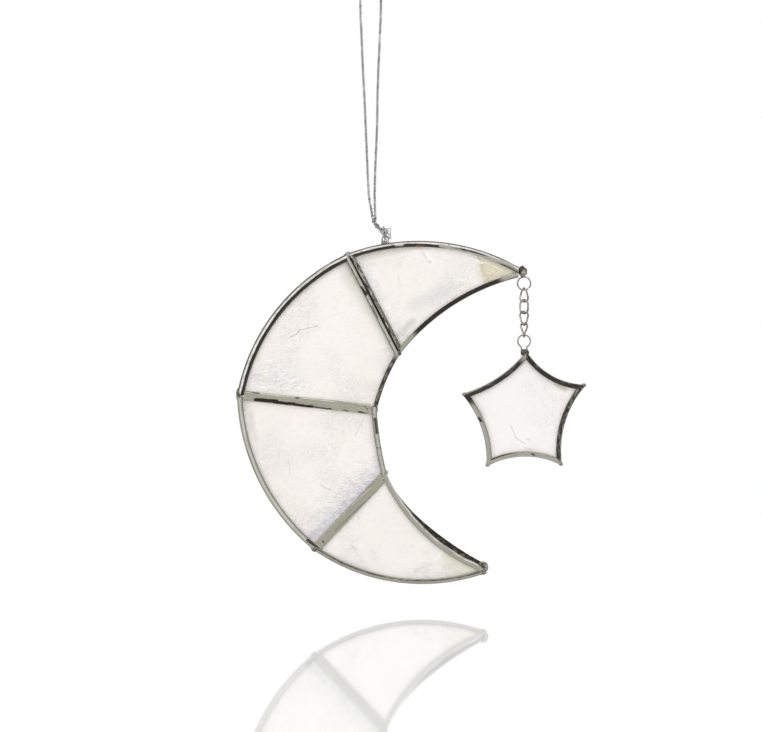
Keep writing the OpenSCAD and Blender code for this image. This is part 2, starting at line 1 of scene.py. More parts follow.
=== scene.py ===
"""Crescent of shell panes in silvery channel strips, hanging on a metallic cord, with a star on a chain."""
import json
import math
import bmesh
import bpy
from mathutils import Matrix, Vector, noise
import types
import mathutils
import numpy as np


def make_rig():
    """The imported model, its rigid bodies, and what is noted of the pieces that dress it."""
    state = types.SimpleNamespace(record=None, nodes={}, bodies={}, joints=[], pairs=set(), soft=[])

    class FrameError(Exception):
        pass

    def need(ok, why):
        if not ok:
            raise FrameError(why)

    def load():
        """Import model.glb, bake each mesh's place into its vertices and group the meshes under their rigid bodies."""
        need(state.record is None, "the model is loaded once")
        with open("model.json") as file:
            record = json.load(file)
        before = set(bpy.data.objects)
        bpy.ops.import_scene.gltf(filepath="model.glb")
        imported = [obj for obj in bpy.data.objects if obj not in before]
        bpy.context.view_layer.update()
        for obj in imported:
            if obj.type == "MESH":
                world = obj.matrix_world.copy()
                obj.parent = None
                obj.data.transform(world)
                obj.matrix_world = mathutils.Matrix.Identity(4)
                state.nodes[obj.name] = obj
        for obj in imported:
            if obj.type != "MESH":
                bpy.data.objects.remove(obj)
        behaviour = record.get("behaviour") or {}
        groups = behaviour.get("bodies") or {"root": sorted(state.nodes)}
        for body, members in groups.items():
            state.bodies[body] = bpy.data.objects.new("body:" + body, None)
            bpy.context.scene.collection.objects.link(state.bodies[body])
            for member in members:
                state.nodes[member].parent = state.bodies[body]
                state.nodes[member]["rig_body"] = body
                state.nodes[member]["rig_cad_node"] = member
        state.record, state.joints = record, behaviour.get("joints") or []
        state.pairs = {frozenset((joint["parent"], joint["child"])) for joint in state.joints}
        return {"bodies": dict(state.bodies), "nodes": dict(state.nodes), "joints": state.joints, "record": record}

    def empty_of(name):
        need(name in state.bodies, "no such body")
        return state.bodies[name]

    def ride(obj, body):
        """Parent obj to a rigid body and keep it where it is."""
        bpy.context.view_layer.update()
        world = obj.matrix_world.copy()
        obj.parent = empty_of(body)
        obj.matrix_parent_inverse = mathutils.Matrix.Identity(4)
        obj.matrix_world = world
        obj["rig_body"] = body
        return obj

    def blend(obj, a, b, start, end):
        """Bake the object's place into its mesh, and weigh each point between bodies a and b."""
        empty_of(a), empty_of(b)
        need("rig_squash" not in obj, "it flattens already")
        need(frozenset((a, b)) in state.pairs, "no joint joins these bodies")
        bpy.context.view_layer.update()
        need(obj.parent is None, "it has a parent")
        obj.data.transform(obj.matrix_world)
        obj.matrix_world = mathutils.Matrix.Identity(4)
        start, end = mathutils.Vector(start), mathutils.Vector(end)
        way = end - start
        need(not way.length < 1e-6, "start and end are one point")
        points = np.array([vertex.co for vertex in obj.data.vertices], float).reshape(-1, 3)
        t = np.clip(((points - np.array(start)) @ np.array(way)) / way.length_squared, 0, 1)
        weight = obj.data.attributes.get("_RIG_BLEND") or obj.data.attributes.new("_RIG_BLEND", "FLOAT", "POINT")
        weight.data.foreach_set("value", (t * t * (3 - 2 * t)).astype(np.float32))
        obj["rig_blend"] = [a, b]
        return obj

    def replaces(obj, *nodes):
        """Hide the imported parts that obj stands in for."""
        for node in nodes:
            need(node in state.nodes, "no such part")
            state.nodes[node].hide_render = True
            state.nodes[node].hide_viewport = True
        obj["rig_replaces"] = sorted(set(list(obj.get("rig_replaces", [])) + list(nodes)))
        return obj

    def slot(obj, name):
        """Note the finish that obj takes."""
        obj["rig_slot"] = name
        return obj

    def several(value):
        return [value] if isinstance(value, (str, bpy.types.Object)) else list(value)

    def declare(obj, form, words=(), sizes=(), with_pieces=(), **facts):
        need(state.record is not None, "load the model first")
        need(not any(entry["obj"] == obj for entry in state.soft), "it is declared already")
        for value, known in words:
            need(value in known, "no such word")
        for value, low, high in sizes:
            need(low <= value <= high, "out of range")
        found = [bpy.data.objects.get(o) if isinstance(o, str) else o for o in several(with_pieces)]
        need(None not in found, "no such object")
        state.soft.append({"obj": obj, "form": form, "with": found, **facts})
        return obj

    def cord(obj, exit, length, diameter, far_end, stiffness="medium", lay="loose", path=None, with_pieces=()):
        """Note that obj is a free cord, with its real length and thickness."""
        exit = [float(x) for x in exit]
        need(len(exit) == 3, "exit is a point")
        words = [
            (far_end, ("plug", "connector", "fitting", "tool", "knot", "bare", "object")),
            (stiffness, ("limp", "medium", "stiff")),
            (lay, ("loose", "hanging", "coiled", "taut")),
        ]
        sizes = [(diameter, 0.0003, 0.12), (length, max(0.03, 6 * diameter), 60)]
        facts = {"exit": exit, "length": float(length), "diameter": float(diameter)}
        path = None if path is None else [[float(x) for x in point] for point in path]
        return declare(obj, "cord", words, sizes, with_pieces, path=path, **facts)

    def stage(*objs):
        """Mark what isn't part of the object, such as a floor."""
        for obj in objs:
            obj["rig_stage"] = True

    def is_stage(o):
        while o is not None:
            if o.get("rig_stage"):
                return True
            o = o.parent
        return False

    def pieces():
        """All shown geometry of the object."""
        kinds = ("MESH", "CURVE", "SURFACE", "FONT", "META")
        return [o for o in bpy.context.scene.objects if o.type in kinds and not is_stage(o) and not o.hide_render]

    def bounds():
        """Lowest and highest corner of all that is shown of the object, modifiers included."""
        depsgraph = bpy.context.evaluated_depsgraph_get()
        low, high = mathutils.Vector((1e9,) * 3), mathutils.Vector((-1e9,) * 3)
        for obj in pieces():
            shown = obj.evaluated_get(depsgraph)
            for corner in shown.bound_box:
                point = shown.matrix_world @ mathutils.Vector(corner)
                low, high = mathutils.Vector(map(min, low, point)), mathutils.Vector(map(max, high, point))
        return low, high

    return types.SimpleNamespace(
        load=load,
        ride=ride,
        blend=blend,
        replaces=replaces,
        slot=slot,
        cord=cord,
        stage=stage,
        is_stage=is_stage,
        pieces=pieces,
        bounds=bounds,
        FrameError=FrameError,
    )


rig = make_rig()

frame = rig.load()
cad_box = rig.bounds()
scene = bpy.context.scene

# Tables of places and sizes are in millimetres, and times MM they are in the scene's metres
MM = 0.001


# ---------------------------------------------------------------- camera and meshes

CAMERA_DISTANCE = 0.72
VIEW_WIDTH = 0.26556
VIEW_CENTRE = (0.00359, -0.13619)
SENSOR_WIDTH = 36


def make_camera():
    """A level camera straight in front, whose view has the wanted width on the ornament's own plane."""
    lens = bpy.data.cameras.new("camera")
    lens.sensor_fit = "HORIZONTAL"
    lens.sensor_width = SENSOR_WIDTH
    lens.lens = SENSOR_WIDTH * CAMERA_DISTANCE / VIEW_WIDTH
    lens.clip_start = 0.01
    camera = bpy.data.objects.new("camera", lens)
    camera.location = (VIEW_CENTRE[0], -CAMERA_DISTANCE, VIEW_CENTRE[1])
    camera.rotation_euler = (math.radians(90), 0, 0)
    scene.collection.objects.link(camera)
    scene.camera = camera


def link_mesh(name, bm, body, material):
    """The finished bmesh as a smooth object at the origin, riding on its body if it has one."""
    for face in bm.faces:
        face.smooth = True
    mesh = bpy.data.meshes.new(name)
    bm.to_mesh(mesh)
    bm.free()
    obj = bpy.data.objects.new(name, mesh)
    scene.collection.objects.link(obj)
    mesh.materials.append(material)
    if body:
        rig.ride(obj, body)
    return obj


make_camera()


# ---------------------------------------------------------------- paths, wires and cords

SPAN_STEPS = 24  # straight steps between two given points of a smooth route
PLIES, PLY_SIDES = 2, 7
PLY_SHARE = 0.29  # a ply's radius over the cord's diameter
LOOSENESS = 0.18  # how far a ply's lay opens and closes
LOOSE_SCALE, PLY_SHIFT = 900, 7.3  # how fast it does along the cord, and how far apart the plies' noise is

# The loop's route in x and z, left strand up, over the hook and right strand down
CORD_ROUTE = [
    (0.7, -84.8), (0.2, -81.8), (-0.6, -77), (-1, -70), (-1.3, -63), (-1.6, -56), (-1.9, -49), (-2.2, -42),
    (-2.6, -35), (-2.9, -28), (-3.2, -21), (-3.5, -14), (-3.6, -8), (-3.6, -3.2), (-3, -1.2), (-1.7, 0.1),
    (0, 0.5), (1.7, 0.1), (3, -1.2), (3.6, -3.2), (3.6, -8), (3.5, -14), (3.2, -21), (2.9, -28),
    (2.6, -35), (2.4, -42), (2.3, -49), (2.1, -56), (1.8, -63), (1.5, -70), (1.4, -77), (1.5, -81.8),
    (1.7, -84.8),
]


def smooth_route(points, spacing):
    """Points a spacing apart along the smooth curve through the given ones."""
    fine = []
    for i in range(len(points) - 1):
        a, b, c, d = (points[max(0, min(len(points) - 1, i + k))] for k in (-1, 0, 1, 2))
        for k in range(SPAN_STEPS):
            t = k / SPAN_STEPS
            fine.append((2 * b + t * (c - a) + t * t * (2 * a - 5 * b + 4 * c - d)
                         + t ** 3 * (3 * b - a - 3 * c + d)) / 2)
    fine.append(points[-1])
    out, carry = [fine[0]], 0.0
    for p, q in zip(fine, fine[1:]):
        step = (q - p).length
        while carry + step >= spacing:
            p = p + (q - p) * ((spacing - carry) / step)
            step = (q - p).length
            carry = 0.0
            out.append(p)
        carry += step
    return out


def along_path(path):
    """(point, across, out) at each point of a path, with a frame that doesn't twist."""
    frames, across = [], None
    for i, p in enumerate(path):
        run = (path[min(i + 1, len(path) - 1)] - path[max(i - 1, 0)]).normalized()
        if across is None:
            across = run.orthogonal().normalized()
        across = (across - run * across.dot(run)).normalized()
        frames.append((p, across, run.cross(across)))
    return frames


def path_runs(path):
    """The length from the start at each point of a path."""
    runs = [0.0]
    for p, q in zip(path, path[1:]):
        runs.append(runs[-1] + (q - p).length)
    return runs


def beside(place, reach, angle):
    """The point at a reach and an angle from one (point, across, out) of a path."""
    p, across, out = place
    return p + reach * (math.cos(angle) * across + math.sin(angle) * out)


def ring_verts(bm, place, radius, sides, turn=0.0):
    """New verts in a circle round one (point, across, out) of a path."""
    return [bm.verts.new(beside(place, radius, 2 * math.pi * j / sides - turn)) for j in range(sides)]


def join_rings(bm, a, b):
    """A tube's faces between two circles of verts."""
    for j in range(len(a)):
        n = (j + 1) % len(a)
        bm.faces.new((a[j], a[n], b[n], b[j]))


def sweep_ring(bm, path, radius, sides):
    """A round wire along a path, closed at both ends."""
    rings = [ring_verts(bm, place, radius, sides) for place in along_path(path)]
    for a, b in zip(rings, rings[1:]):
        join_rings(bm, a, b)
    bm.faces.new(rings[0][::-1])
    bm.faces.new(rings[-1])


def closed_wire(bm, points, radius, sides):
    """A round wire whose end meets its start, its frame eased round so that the seam closes."""
    frames = along_path(points[-2:] + points + points[:3])[2:-2]
    first, last = frames[0], frames[-1]
    slip = math.atan2(last[1].dot(first[2]), last[1].dot(first[1]))
    count = len(points)
    rings = [ring_verts(bm, frames[k], radius, sides, slip * k / count) for k in range(count)]
    for k in range(count):
        join_rings(bm, rings[k], rings[(k + 1) % count])


def twisted_cord(bm, path, make):
    """Plies laid round each other along a path; make is the cord's diameter and lay in millimetres."""
    diameter, pitch = make[0] * MM, make[1] * MM
    ply = diameter * PLY_SHARE
    steps = list(zip(along_path(path), path_runs(path)))
    for n in range(PLIES):
        centre = []
        for place, run in steps:
            loose = 1 + LOOSENESS * noise.noise(Vector((run * LOOSE_SCALE, n * PLY_SHIFT, 0)))
            turn = 2 * math.pi * (run / pitch + n / PLIES)
            centre.append(beside(place, (diameter / 2 - ply) * loose, turn))
        sweep_ring(bm, centre, ply, PLY_SIDES)


def wound(path, offset, pitch, phase):
    """The line of a strand that winds round a path."""
    return [beside(place, offset, phase + 2 * math.pi * run / pitch)
            for place, run in zip(along_path(path), path_runs(path))]


cord_points = [Vector((x, 0, z)) * MM for x, z in CORD_ROUTE]
cord_path = smooth_route(cord_points, 0.22 * MM)


# ---------------------------------------------------------------- materials

FIBRE_STRETCH = (1, 1, 4.5)
BLACK, PALE, WHITE = (0.022, 0.018, 0.014), (0.42, 0.41, 0.36), (0.9, 0.9, 0.88)
# These have alpha, for the strip group's colour sockets; MILK is the colour of the strips' painted highlight
INK, MILK = (*BLACK, 1), (*WHITE, 1)
STONE, SMOKE = (0.37, 0.36, 0.295, 1), (0.3, 0.29, 0.25, 1)


class Sheet:
    """A node tree being drawn up. A value is a number, a tuple or another node's output."""

    def __init__(self, tree):
        self.tree = tree

    def add(self, kind, settings=None, **inputs):
        """A new node. An underscore in the name of an input stands for a space."""
        node = self.tree.nodes.new(kind)
        for key, value in (settings or {}).items():
            setattr(node, key, value)
        self.plug_all(node, {key.replace("_", " "): value for key, value in inputs.items()})
        return node

    def plug(self, node, key, value):
        socket = node.inputs[key]
        if isinstance(value, bpy.types.NodeSocket):
            self.tree.links.new(value, socket)
        else:
            socket.default_value = value

    def plug_all(self, node, inputs):
        for key, value in inputs.items():
            self.plug(node, key, value)

    def place(self):
        """Object coordinates."""
        return self.add("ShaderNodeTexCoord").outputs["Object"]

    def math(self, operation, a, b=0.0, clamp=False):
        node = self.add("ShaderNodeMath", {"operation": operation, "use_clamp": clamp})
        self.plug_all(node, {0: a, 1: b})
        return node.outputs[0]

    def plus(self, a, b):
        return self.math("ADD", a, b)

    def minus(self, a, b):
        return self.math("SUBTRACT", a, b)

    def times(self, a, b):
        return self.math("MULTIPLY", a, b)

    def vector(self, operation, a, b, output="Vector"):
        node = self.add("ShaderNodeVectorMath", {"operation": operation})
        self.plug_all(node, {0: a, 1: b})
        return node.outputs[output]

    def dot(self, a, b):
        return self.vector("DOT_PRODUCT", a, b, "Value")

    def scale(self, vector, factor):
        return self.add("ShaderNodeVectorMath", {"operation": "SCALE"}, Vector=vector,
                        Scale=factor).outputs[0]

    def ramp(self, value, low, high, to_low=0.0, to_high=1.0):
        """A smooth step of value from low to high."""
        node = self.add("ShaderNodeMapRange", {"interpolation_type": "SMOOTHSTEP"})
        self.plug_all(node, dict(enumerate((value, low, high, to_low, to_high))))
        return node.outputs[0]

    def mix(self, factor, a, b):
        """Colour b laid over colour a; a plain colour is given without its alpha."""
        node = self.add("ShaderNodeMix", {"data_type": "RGBA"})
        for key, v in ((0, factor), (6, a), (7, b)):
            self.plug(node, key, v if isinstance(v, (float, bpy.types.NodeSocket)) else (*v, 1))
        return node.outputs[2]

    def noise(self, vector, scale, detail=3.0, roughness=0.5, distortion=0.0):
        node = self.add("ShaderNodeTexNoise", Vector=vector, Scale=scale, Detail=detail,
                        Roughness=roughness, Distortion=distortion)
        return node.outputs["Fac"]

    def stretch(self, vector, scale, rotation=(0, 0, 0)):
        return self.add("ShaderNodeMapping", Vector=vector, Scale=scale, Rotation=rotation).outputs[0]

    def bump(self, height, strength, distance):
        return self.add("ShaderNodeBump", Height=height, Strength=strength, Distance=distance).outputs[0]


def new_group(name, inputs, outputs):
    """A sheet for a new group, the group's inputs and its output node; sockets are (name, kind, value)."""
    tree = bpy.data.node_groups.new(name, "ShaderNodeTree")
    for side, sockets in (("INPUT", inputs), ("OUTPUT", outputs)):
        for label, kind, value in sockets:
            socket = tree.interface.new_socket(label, in_out=side, socket_type=f"NodeSocket{kind}")
            if value is not None:
                socket.default_value = value
    sheet = Sheet(tree)
    return sheet, tree.nodes.new("NodeGroupInput").outputs, tree.nodes.new("NodeGroupOutput")


def place_group(sheet, tree, **inputs):
    """The outputs of a group placed on a sheet."""
    return sheet.add("ShaderNodeGroup", {"node_tree": tree}, **inputs).outputs


def new_material(name):
    """An empty material and its sheet."""
    material = bpy.data.materials.new(name)
    material.use_nodes = True
    material.node_tree.nodes.clear()
    return material, Sheet(material.node_tree)


def finish_surface(sheet, **inputs):
    """The material's one shader and its output."""
    shader = sheet.add("ShaderNodeBsdfPrincipled", **inputs)
    sheet.plug(sheet.add("ShaderNodeOutputMaterial"), 0, shader.outputs[0])


def stroke_group():
    """How far a point lies in a wandering stroke on the front plane, from 0 outside to 1 inside."""
    sheet, given, out = new_group(
        "stroke",
        [("Vector", "Vector", None), ("From", "Vector", None), ("Run", "Vector", None),
         ("Width", "Float", 0.001), ("Soft", "Float", 0.5), ("Wobble", "Float", 0.0)],
        [("Mask", "Float", None)],
    )
    run = given["Run"]
    drift = sheet.add("ShaderNodeTexNoise", Vector=given["Vector"], Scale=360.0, Detail=6.0,
                      Roughness=0.65).outputs["Color"]
    drift = sheet.scale(sheet.vector("SUBTRACT", drift, (0.5, 0.5, 0.5)), given["Wobble"])
    place = sheet.vector("MULTIPLY", sheet.vector("ADD", given["Vector"], drift), (1, 0, 1))
    offset = sheet.vector("SUBTRACT", place, given["From"])
    share = sheet.math("DIVIDE", sheet.dot(offset, run), sheet.dot(run, run), True)
    away = sheet.add("ShaderNodeVectorMath", {"operation": "LENGTH"},
                     Vector=sheet.vector("SUBTRACT", offset, sheet.scale(run, share))).outputs["Value"]
    inner = sheet.times(given["Width"], sheet.minus(1.0, given["Soft"]))
    sheet.plug(out, "Mask", sheet.ramp(away, inner, given["Width"], 1.0, 0.0))
    return sheet.tree


STROKE = stroke_group()


def on_front(x, z):
    """A point on the plane through the pieces' middle, from millimetres."""
    return Vector((x, 0, z)) * MM


def paint_marks(sheet, place, colour, marks):
    """Marks (from, to, width, soft, wobble, colour, strength) laid over a colour, in millimetres."""
    for start, end, width, soft, wobble, tint, strength in marks:
        a, b = on_front(*start), on_front(*end)
        mask = place_group(sheet, STROKE, Vector=place, From=a, Run=b - a, Width=width * MM, Soft=soft,
                           Wobble=wobble * MM)["Mask"]
        colour = sheet.mix(sheet.times(mask, strength), colour, tint)
    return colour


def paint_hatching(sheet, place, colour, patches):
    """Soft patches (from, to, width, turn, colour, strength) of fine broken streaks, in millimetres."""
    for start, end, width, turn, tint, strength in patches:
        a, b = on_front(*start), on_front(*end)
        mask = place_group(sheet, STROKE, Vector=place, From=a, Run=b - a, Width=width * MM, Soft=1.0,
                           Wobble=3 * MM)["Mask"]
        streaks = sheet.noise(sheet.stretch(place, FIBRE_STRETCH, (0, turn, 0)), 420.0, 3.0, 0.65, 0.6)
        mask = sheet.times(mask, sheet.ramp(streaks, 0.48, 0.6, 0.0, strength))
        colour = sheet.mix(mask, colour, tint)
    return colour


def strip_group():
    """Colour, gloss and relief of a tarnished channel strip, laid out across and along its run.

    Across goes from 0 on the outer side to Face on the pane's side, and along from the side's middle,
    both in millimetres. Band is a line lengthwise, a painted highlight where it is light. From Dark From
    across, and between Dark Start and Dark End along, the strip is dark, a painted dark reflection mixed
    with tarnish, less so where it is Worn. Blotch is the share of dark spots, Edge and Outline are the
    strength and width of the dark rims, which are painted shade along the rounded edges, and Wall lays a
    painted dark reflection on what lies beyond the outer side.
    """
    sheet, given, out = new_group(
        "tarnish_and_painted_light_strip",
        [("Vector", "Vector", None), ("Hub", "Vector", None), ("Middle", "Vector", None),
         ("Run", "Vector", None), ("Radius", "Float", 1.0), ("Sign", "Float", 1.0), ("Face", "Float", 2.0),
         ("Seed", "Float", 0.0), ("Base", "Color", STONE), ("Dark", "Color", INK), ("Band", "Color", MILK),
         ("Band At", "Float", 0.8), ("Band Width", "Float", 0.3), ("Band Amount", "Float", 0.0),
         ("Dark From", "Float", 9.0), ("Dark Start", "Float", -99.0), ("Dark End", "Float", 99.0),
         ("Blotch", "Float", 0.2), ("Edge", "Float", 0.5), ("Wall", "Float", 0.0), ("Worn", "Float", 0.0),
         ("Outline", "Float", 0.42)],
        [("Colour", "Color", None), ("Roughness", "Float", None), ("Height", "Float", None)],
    )
    plus, minus, times, ramp, mix = sheet.plus, sheet.minus, sheet.times, sheet.ramp, sheet.mix
    offset = sheet.vector("SUBTRACT", given["Vector"], given["Hub"])
    ahead, sideways = sheet.dot(offset, given["Middle"]), sheet.dot(offset, given["Run"])
    reach = sheet.math("SQRT", plus(times(ahead, ahead), times(sideways, sideways)))
    across = times(minus(given["Radius"], reach), times(given["Sign"], 1000.0))
    along = times(sheet.math("ARCTAN2", sideways, ahead), times(given["Radius"], 1000.0))

    def streaks(per_mm_along, per_mm_across, detail, roughness, extra):
        spread = sheet.add("ShaderNodeCombineXYZ", X=times(along, per_mm_along),
                           Y=times(across, per_mm_across), Z=plus(given["Seed"], extra))
        return sheet.noise(spread.outputs[0], 1.0, detail, roughness, 0.3)

    tarnish = streaks(0.16, 1.3, 4.0, 0.6, 0.0)
    blots = streaks(0.6, 1.1, 4.0, 0.65, 7.0)
    grain = streaks(2.6, 3.2, 3.0, 0.6, 3.0)
    scratch = streaks(0.4, 4.5, 3.0, 0.6, 11.0)
    wander = times(minus(tarnish, 0.5), 0.8)
    level = plus(across, wander)

    # clouded, grained metal
    tone = mix(ramp(tarnish, 0.35, 0.7, 0.0, 0.45), given["Base"], (0.23, 0.215, 0.17))
    tone = mix(ramp(grain, 0.45, 0.75, 0.0, 0.35), tone, (0.52, 0.5, 0.45))

    # the light line, a painted highlight along the strip, broken by the blots
    at_band = sheet.math("ABSOLUTE", minus(level, given["Band At"]))
    band = times(ramp(at_band, given["Band Width"], 0.0), given["Band Amount"])
    tone = mix(times(band, ramp(blots, 0.7, 0.5)), tone, given["Band"])

    # the dark side, a painted dark reflection mixed with tarnish, rubbed off in places, and the dark spots
    dark = ramp(level, minus(given["Dark From"], 0.12), plus(given["Dark From"], 0.12))
    for key, sign in (("Dark Start", 1.0), ("Dark End", -1.0)):
        dark = times(dark, ramp(times(minus(along, given[key]), sign), -1.5, 2.0))
    worn = times(given["Worn"], 0.22)
    rub = plus(times(scratch, 0.75), times(tarnish, 0.25))
    dark = times(dark, ramp(rub, minus(0.74, worn), minus(0.6, worn)))
    limit = minus(0.78, times(given["Blotch"], 0.4))
    blot = ramp(blots, limit, plus(limit, 0.05))
    tone = mix(blot, mix(dark, tone, given["Dark"]), given["Dark"])

    # the rims, painted shade along the rounded edges, and what lies beyond the outer side, a painted dark reflection
    # of the side wall
    rim = sheet.math("MINIMUM", across, minus(given["Face"], across))
    rim = plus(rim, times(wander, 0.4))
    outline = ramp(rim, given["Outline"], minus(given["Outline"], 0.3))
    tone = mix(times(outline, given["Edge"]), tone, (0.06, 0.052, 0.042))
    wall = times(ramp(level, -0.02, -0.2), given["Wall"])
    tone = mix(wall, tone, mix(ramp(blots, 0.5, 0.62), given["Dark"], (0.13, 0.1, 0.065)))

    rough = plus(ramp(grain, 0.3, 0.8, 0.2, 0.38), times(blot, 0.25))
    height = plus(ramp(rim, 0.0, 0.5), times(blots, 0.35))
    height = plus(height, times(grain, 0.12))
    sheet.plug_all(out, {"Colour": tone, "Roughness": rough, "Height": height})
    return sheet.tree


STRIP = strip_group()
STRAIGHT_BOW = 0.0005  # stands for no bow, since every side is laid out on an arc


def strip_material(name, start, end, bow, face, marks, **look):
    """A strip's own finish, laid along its side from start to end, with the pane on the left hand.

    Bow is the arc's rise over its chord, above 0 where the side bulges away from the pane.
    """
    chord = end - start
    run = chord.normalized()
    left = Vector((-run.y, run.x))
    bow = bow or STRAIGHT_BOW
    radius = chord.length * (0.25 + bow * bow) / (2 * abs(bow))
    sign = 1 if bow > 0 else -1
    hub = (start + end) / 2 - left * bow * chord.length + left * radius * sign
    material, sheet = new_material(name)
    place = sheet.place()
    parts = place_group(sheet, STRIP, Vector=place, Hub=on_front(*hub),
                        Middle=(-left.x * sign, 0, -left.y * sign), Run=(run.x, 0, run.y),
                        Radius=radius * MM, Sign=float(sign), Face=face,
                        Seed=float(len(bpy.data.materials) * 5 % 37), **look)
    colour = paint_marks(sheet, place, parts["Colour"], marks)
    finish_surface(sheet, Base_Color=colour, Metallic=0.8, Roughness=parts["Roughness"],
                   Normal=sheet.bump(parts["Height"], 0.7, 0.22 * MM))
    return material


def lumpy_metal(name, bright, dim, dark, limit, scale, depth, edge):
    """Drawn wire or solder: cloudy silver that darkens where it turns away.

    Flecks show above limit, scale is the clouds' fineness, depth the relief in millimetres and edge how
    much it darkens, as painted shade where the surface turns away from the view.
    """
    material, sheet = new_material(name)
    place = sheet.place()
    clouds = sheet.noise(place, scale, 4.0, 0.6, 0.4)
    flecks = sheet.noise(place, scale * 4, 3.0, 0.6)
    colour = sheet.mix(sheet.ramp(clouds, 0.35, 0.65), bright, dim)
    colour = sheet.mix(sheet.ramp(flecks, limit, limit + 0.06), colour, dark)
    # painted shade where the surface turns away from the view
    facing = sheet.add("ShaderNodeLayerWeight", Blend=0.45).outputs["Facing"]
    colour = sheet.mix(sheet.ramp(facing, 0.35, 0.95, 0.0, edge), colour, dark)
    height = sheet.plus(clouds, sheet.times(flecks, 0.3))
    finish_surface(sheet, Base_Color=colour, Metallic=0.85,
                   Roughness=sheet.ramp(clouds, 0.3, 0.8, 0.18, 0.36),
                   Normal=sheet.bump(height, 0.7, depth * MM))
    return material


SOLDER = lumpy_metal("solder", (0.46, 0.45, 0.41), (0.2, 0.19, 0.16), (0.03, 0.025, 0.02),
                     0.58, 700.0, 0.5, 0.75)
DARK_SOLDER = lumpy_metal("dark_solder", (0.2, 0.19, 0.17), (0.06, 0.055, 0.045), (0.02, 0.017, 0.014),
                          0.5, 800.0, 0.6, 0.8)
TIP_SOLDER = lumpy_metal("mottled_solder", (0.5, 0.49, 0.46), (0.08, 0.072, 0.06), (0.022, 0.018, 0.014),
                         0.48, 620.0, 0.7, 0.8)
WIRE = lumpy_metal("silvered_wire", (0.4, 0.385, 0.37), (0.17, 0.16, 0.15), (0.045, 0.04, 0.034),
                   0.62, 900.0, 0.08, 0.95)


def cord_material():
    """Metallic thread: small glints in soft light and dark stretches."""
    material, sheet = new_material("metallic_thread")
    place = sheet.place()
    glint = sheet.noise(place, 2600.0, 2.0, 0.7)
    sheen = sheet.noise(place, 420.0, 2.0, 0.5)
    # painted glints and sheen laid into the thread's colour
    colour = sheet.mix(sheet.ramp(glint, 0.38, 0.62), (0.07, 0.072, 0.078), (0.5, 0.505, 0.52))
    colour = sheet.mix(sheet.ramp(sheen, 0.5, 0.7, 0.0, 0.6), colour, (0.66, 0.665, 0.68))
    # painted shade where the thread turns away from the view
    facing = sheet.add("ShaderNodeLayerWeight", Blend=0.5).outputs["Facing"]
    colour = sheet.mix(sheet.ramp(facing, 0.5, 1.0, 0.0, 0.75), colour, (0.06, 0.06, 0.065))
    finish_surface(sheet, Base_Color=colour, Metallic=0.8, Roughness=sheet.ramp(glint, 0.3, 0.7, 0.45, 0.25),
                   Normal=sheet.bump(glint, 0.8, 0.12 * MM))
    return material


def shell_group():
    """Pearly shell: soft clouds, fine growth fibres, creases and pinprick blemishes."""
    sheet, given, out = new_group(
        "capiz",
        [("Vector", "Vector", None), ("Turn", "Float", 0.0)],
        [("Colour", "Color", None), ("Roughness", "Float", None), ("Height", "Float", None)],
    )
    place, ramp, mix = given["Vector"], sheet.ramp, sheet.mix
    turned = sheet.add("ShaderNodeVectorRotate", {"rotation_type": "Y_AXIS"}, Vector=place,
                       Angle=given["Turn"]).outputs[0]
    clouds = sheet.noise(place, 38.0, 4.0, 0.55, 0.6)
    veil = sheet.noise(place, 95.0, 3.0, 0.6, 1.4)
    mottle = sheet.noise(place, 520.0, 3.0, 0.7)
    pricks = sheet.noise(place, 900.0, 2.0, 0.5)
    fibres = sheet.noise(sheet.stretch(turned, FIBRE_STRETCH), 260.0, 5.0, 0.65, 1.6)
    folds = sheet.noise(sheet.stretch(turned, (1, 1, 1.8)), 230.0, 4.0, 0.65, 2.4)
    creases = ramp(sheet.math("ABSOLUTE", sheet.minus(folds, 0.5)), 0.022, 0.0)
    creases = sheet.times(creases, ramp(sheet.noise(place, 55.0, 2.0, 0.5, 0.5), 0.46, 0.6))

    colour = mix(ramp(clouds, 0.35, 0.68), (0.9, 0.855, 0.82), (0.86, 0.815, 0.78))
    colour = mix(ramp(veil, 0.56, 0.72, 0.0, 0.4), colour, (0.82, 0.8, 0.79))
    colour = mix(ramp(veil, 0.42, 0.28, 0.0, 0.5), colour, (0.9, 0.86, 0.79))
    colour = mix(ramp(fibres, 0.54, 0.72, 0.0, 0.6), colour, (0.74, 0.715, 0.69))
    colour = mix(ramp(pricks, 0.7, 0.77, 0.0, 0.8), colour, (0.97, 0.95, 0.94))
    # painted shade in the creases
    colour = mix(sheet.times(creases, 0.28), colour, (0.66, 0.64, 0.61))
    colour = mix(sheet.times(ramp(mottle, 0.52, 0.7), 0.3), colour, (0.72, 0.7, 0.68))
    height = sheet.plus(sheet.times(fibres, 0.5), clouds)
    height = sheet.minus(height, sheet.times(creases, 0.5))
    sheet.plug_all(out, {"Colour": colour, "Roughness": ramp(fibres, 0.3, 0.8, 0.3, 0.46),
                         "Height": height})
    return sheet.tree


SHELL = shell_group()


def shell_material(name, turn, marks, hatching=(), tint=None):
    """A pane's own finish; turn is its fibres' direction in radians."""
    material, sheet = new_material(name)
    place = sheet.place()
    parts = place_group(sheet, SHELL, Vector=place, Turn=turn)
    colour = parts["Colour"]
    if tint:
        colour = sheet.mix(0.5, colour, tint)
    colour = paint_hatching(sheet, place, paint_marks(sheet, place, colour, marks), hatching)
    finish_surface(sheet, Base_Color=colour, Roughness=parts["Roughness"], Coat_Weight=0.12,
                   Coat_Roughness=0.3, Normal=sheet.bump(parts["Height"], 0.5, 0.3 * MM),
                   Subsurface_Weight=0.12, Subsurface_Radius=(0.6, 0.5, 0.45), Subsurface_Scale=0.001)
    return material


CORD = cord_material()


# ---------------------------------------------------------------- panes

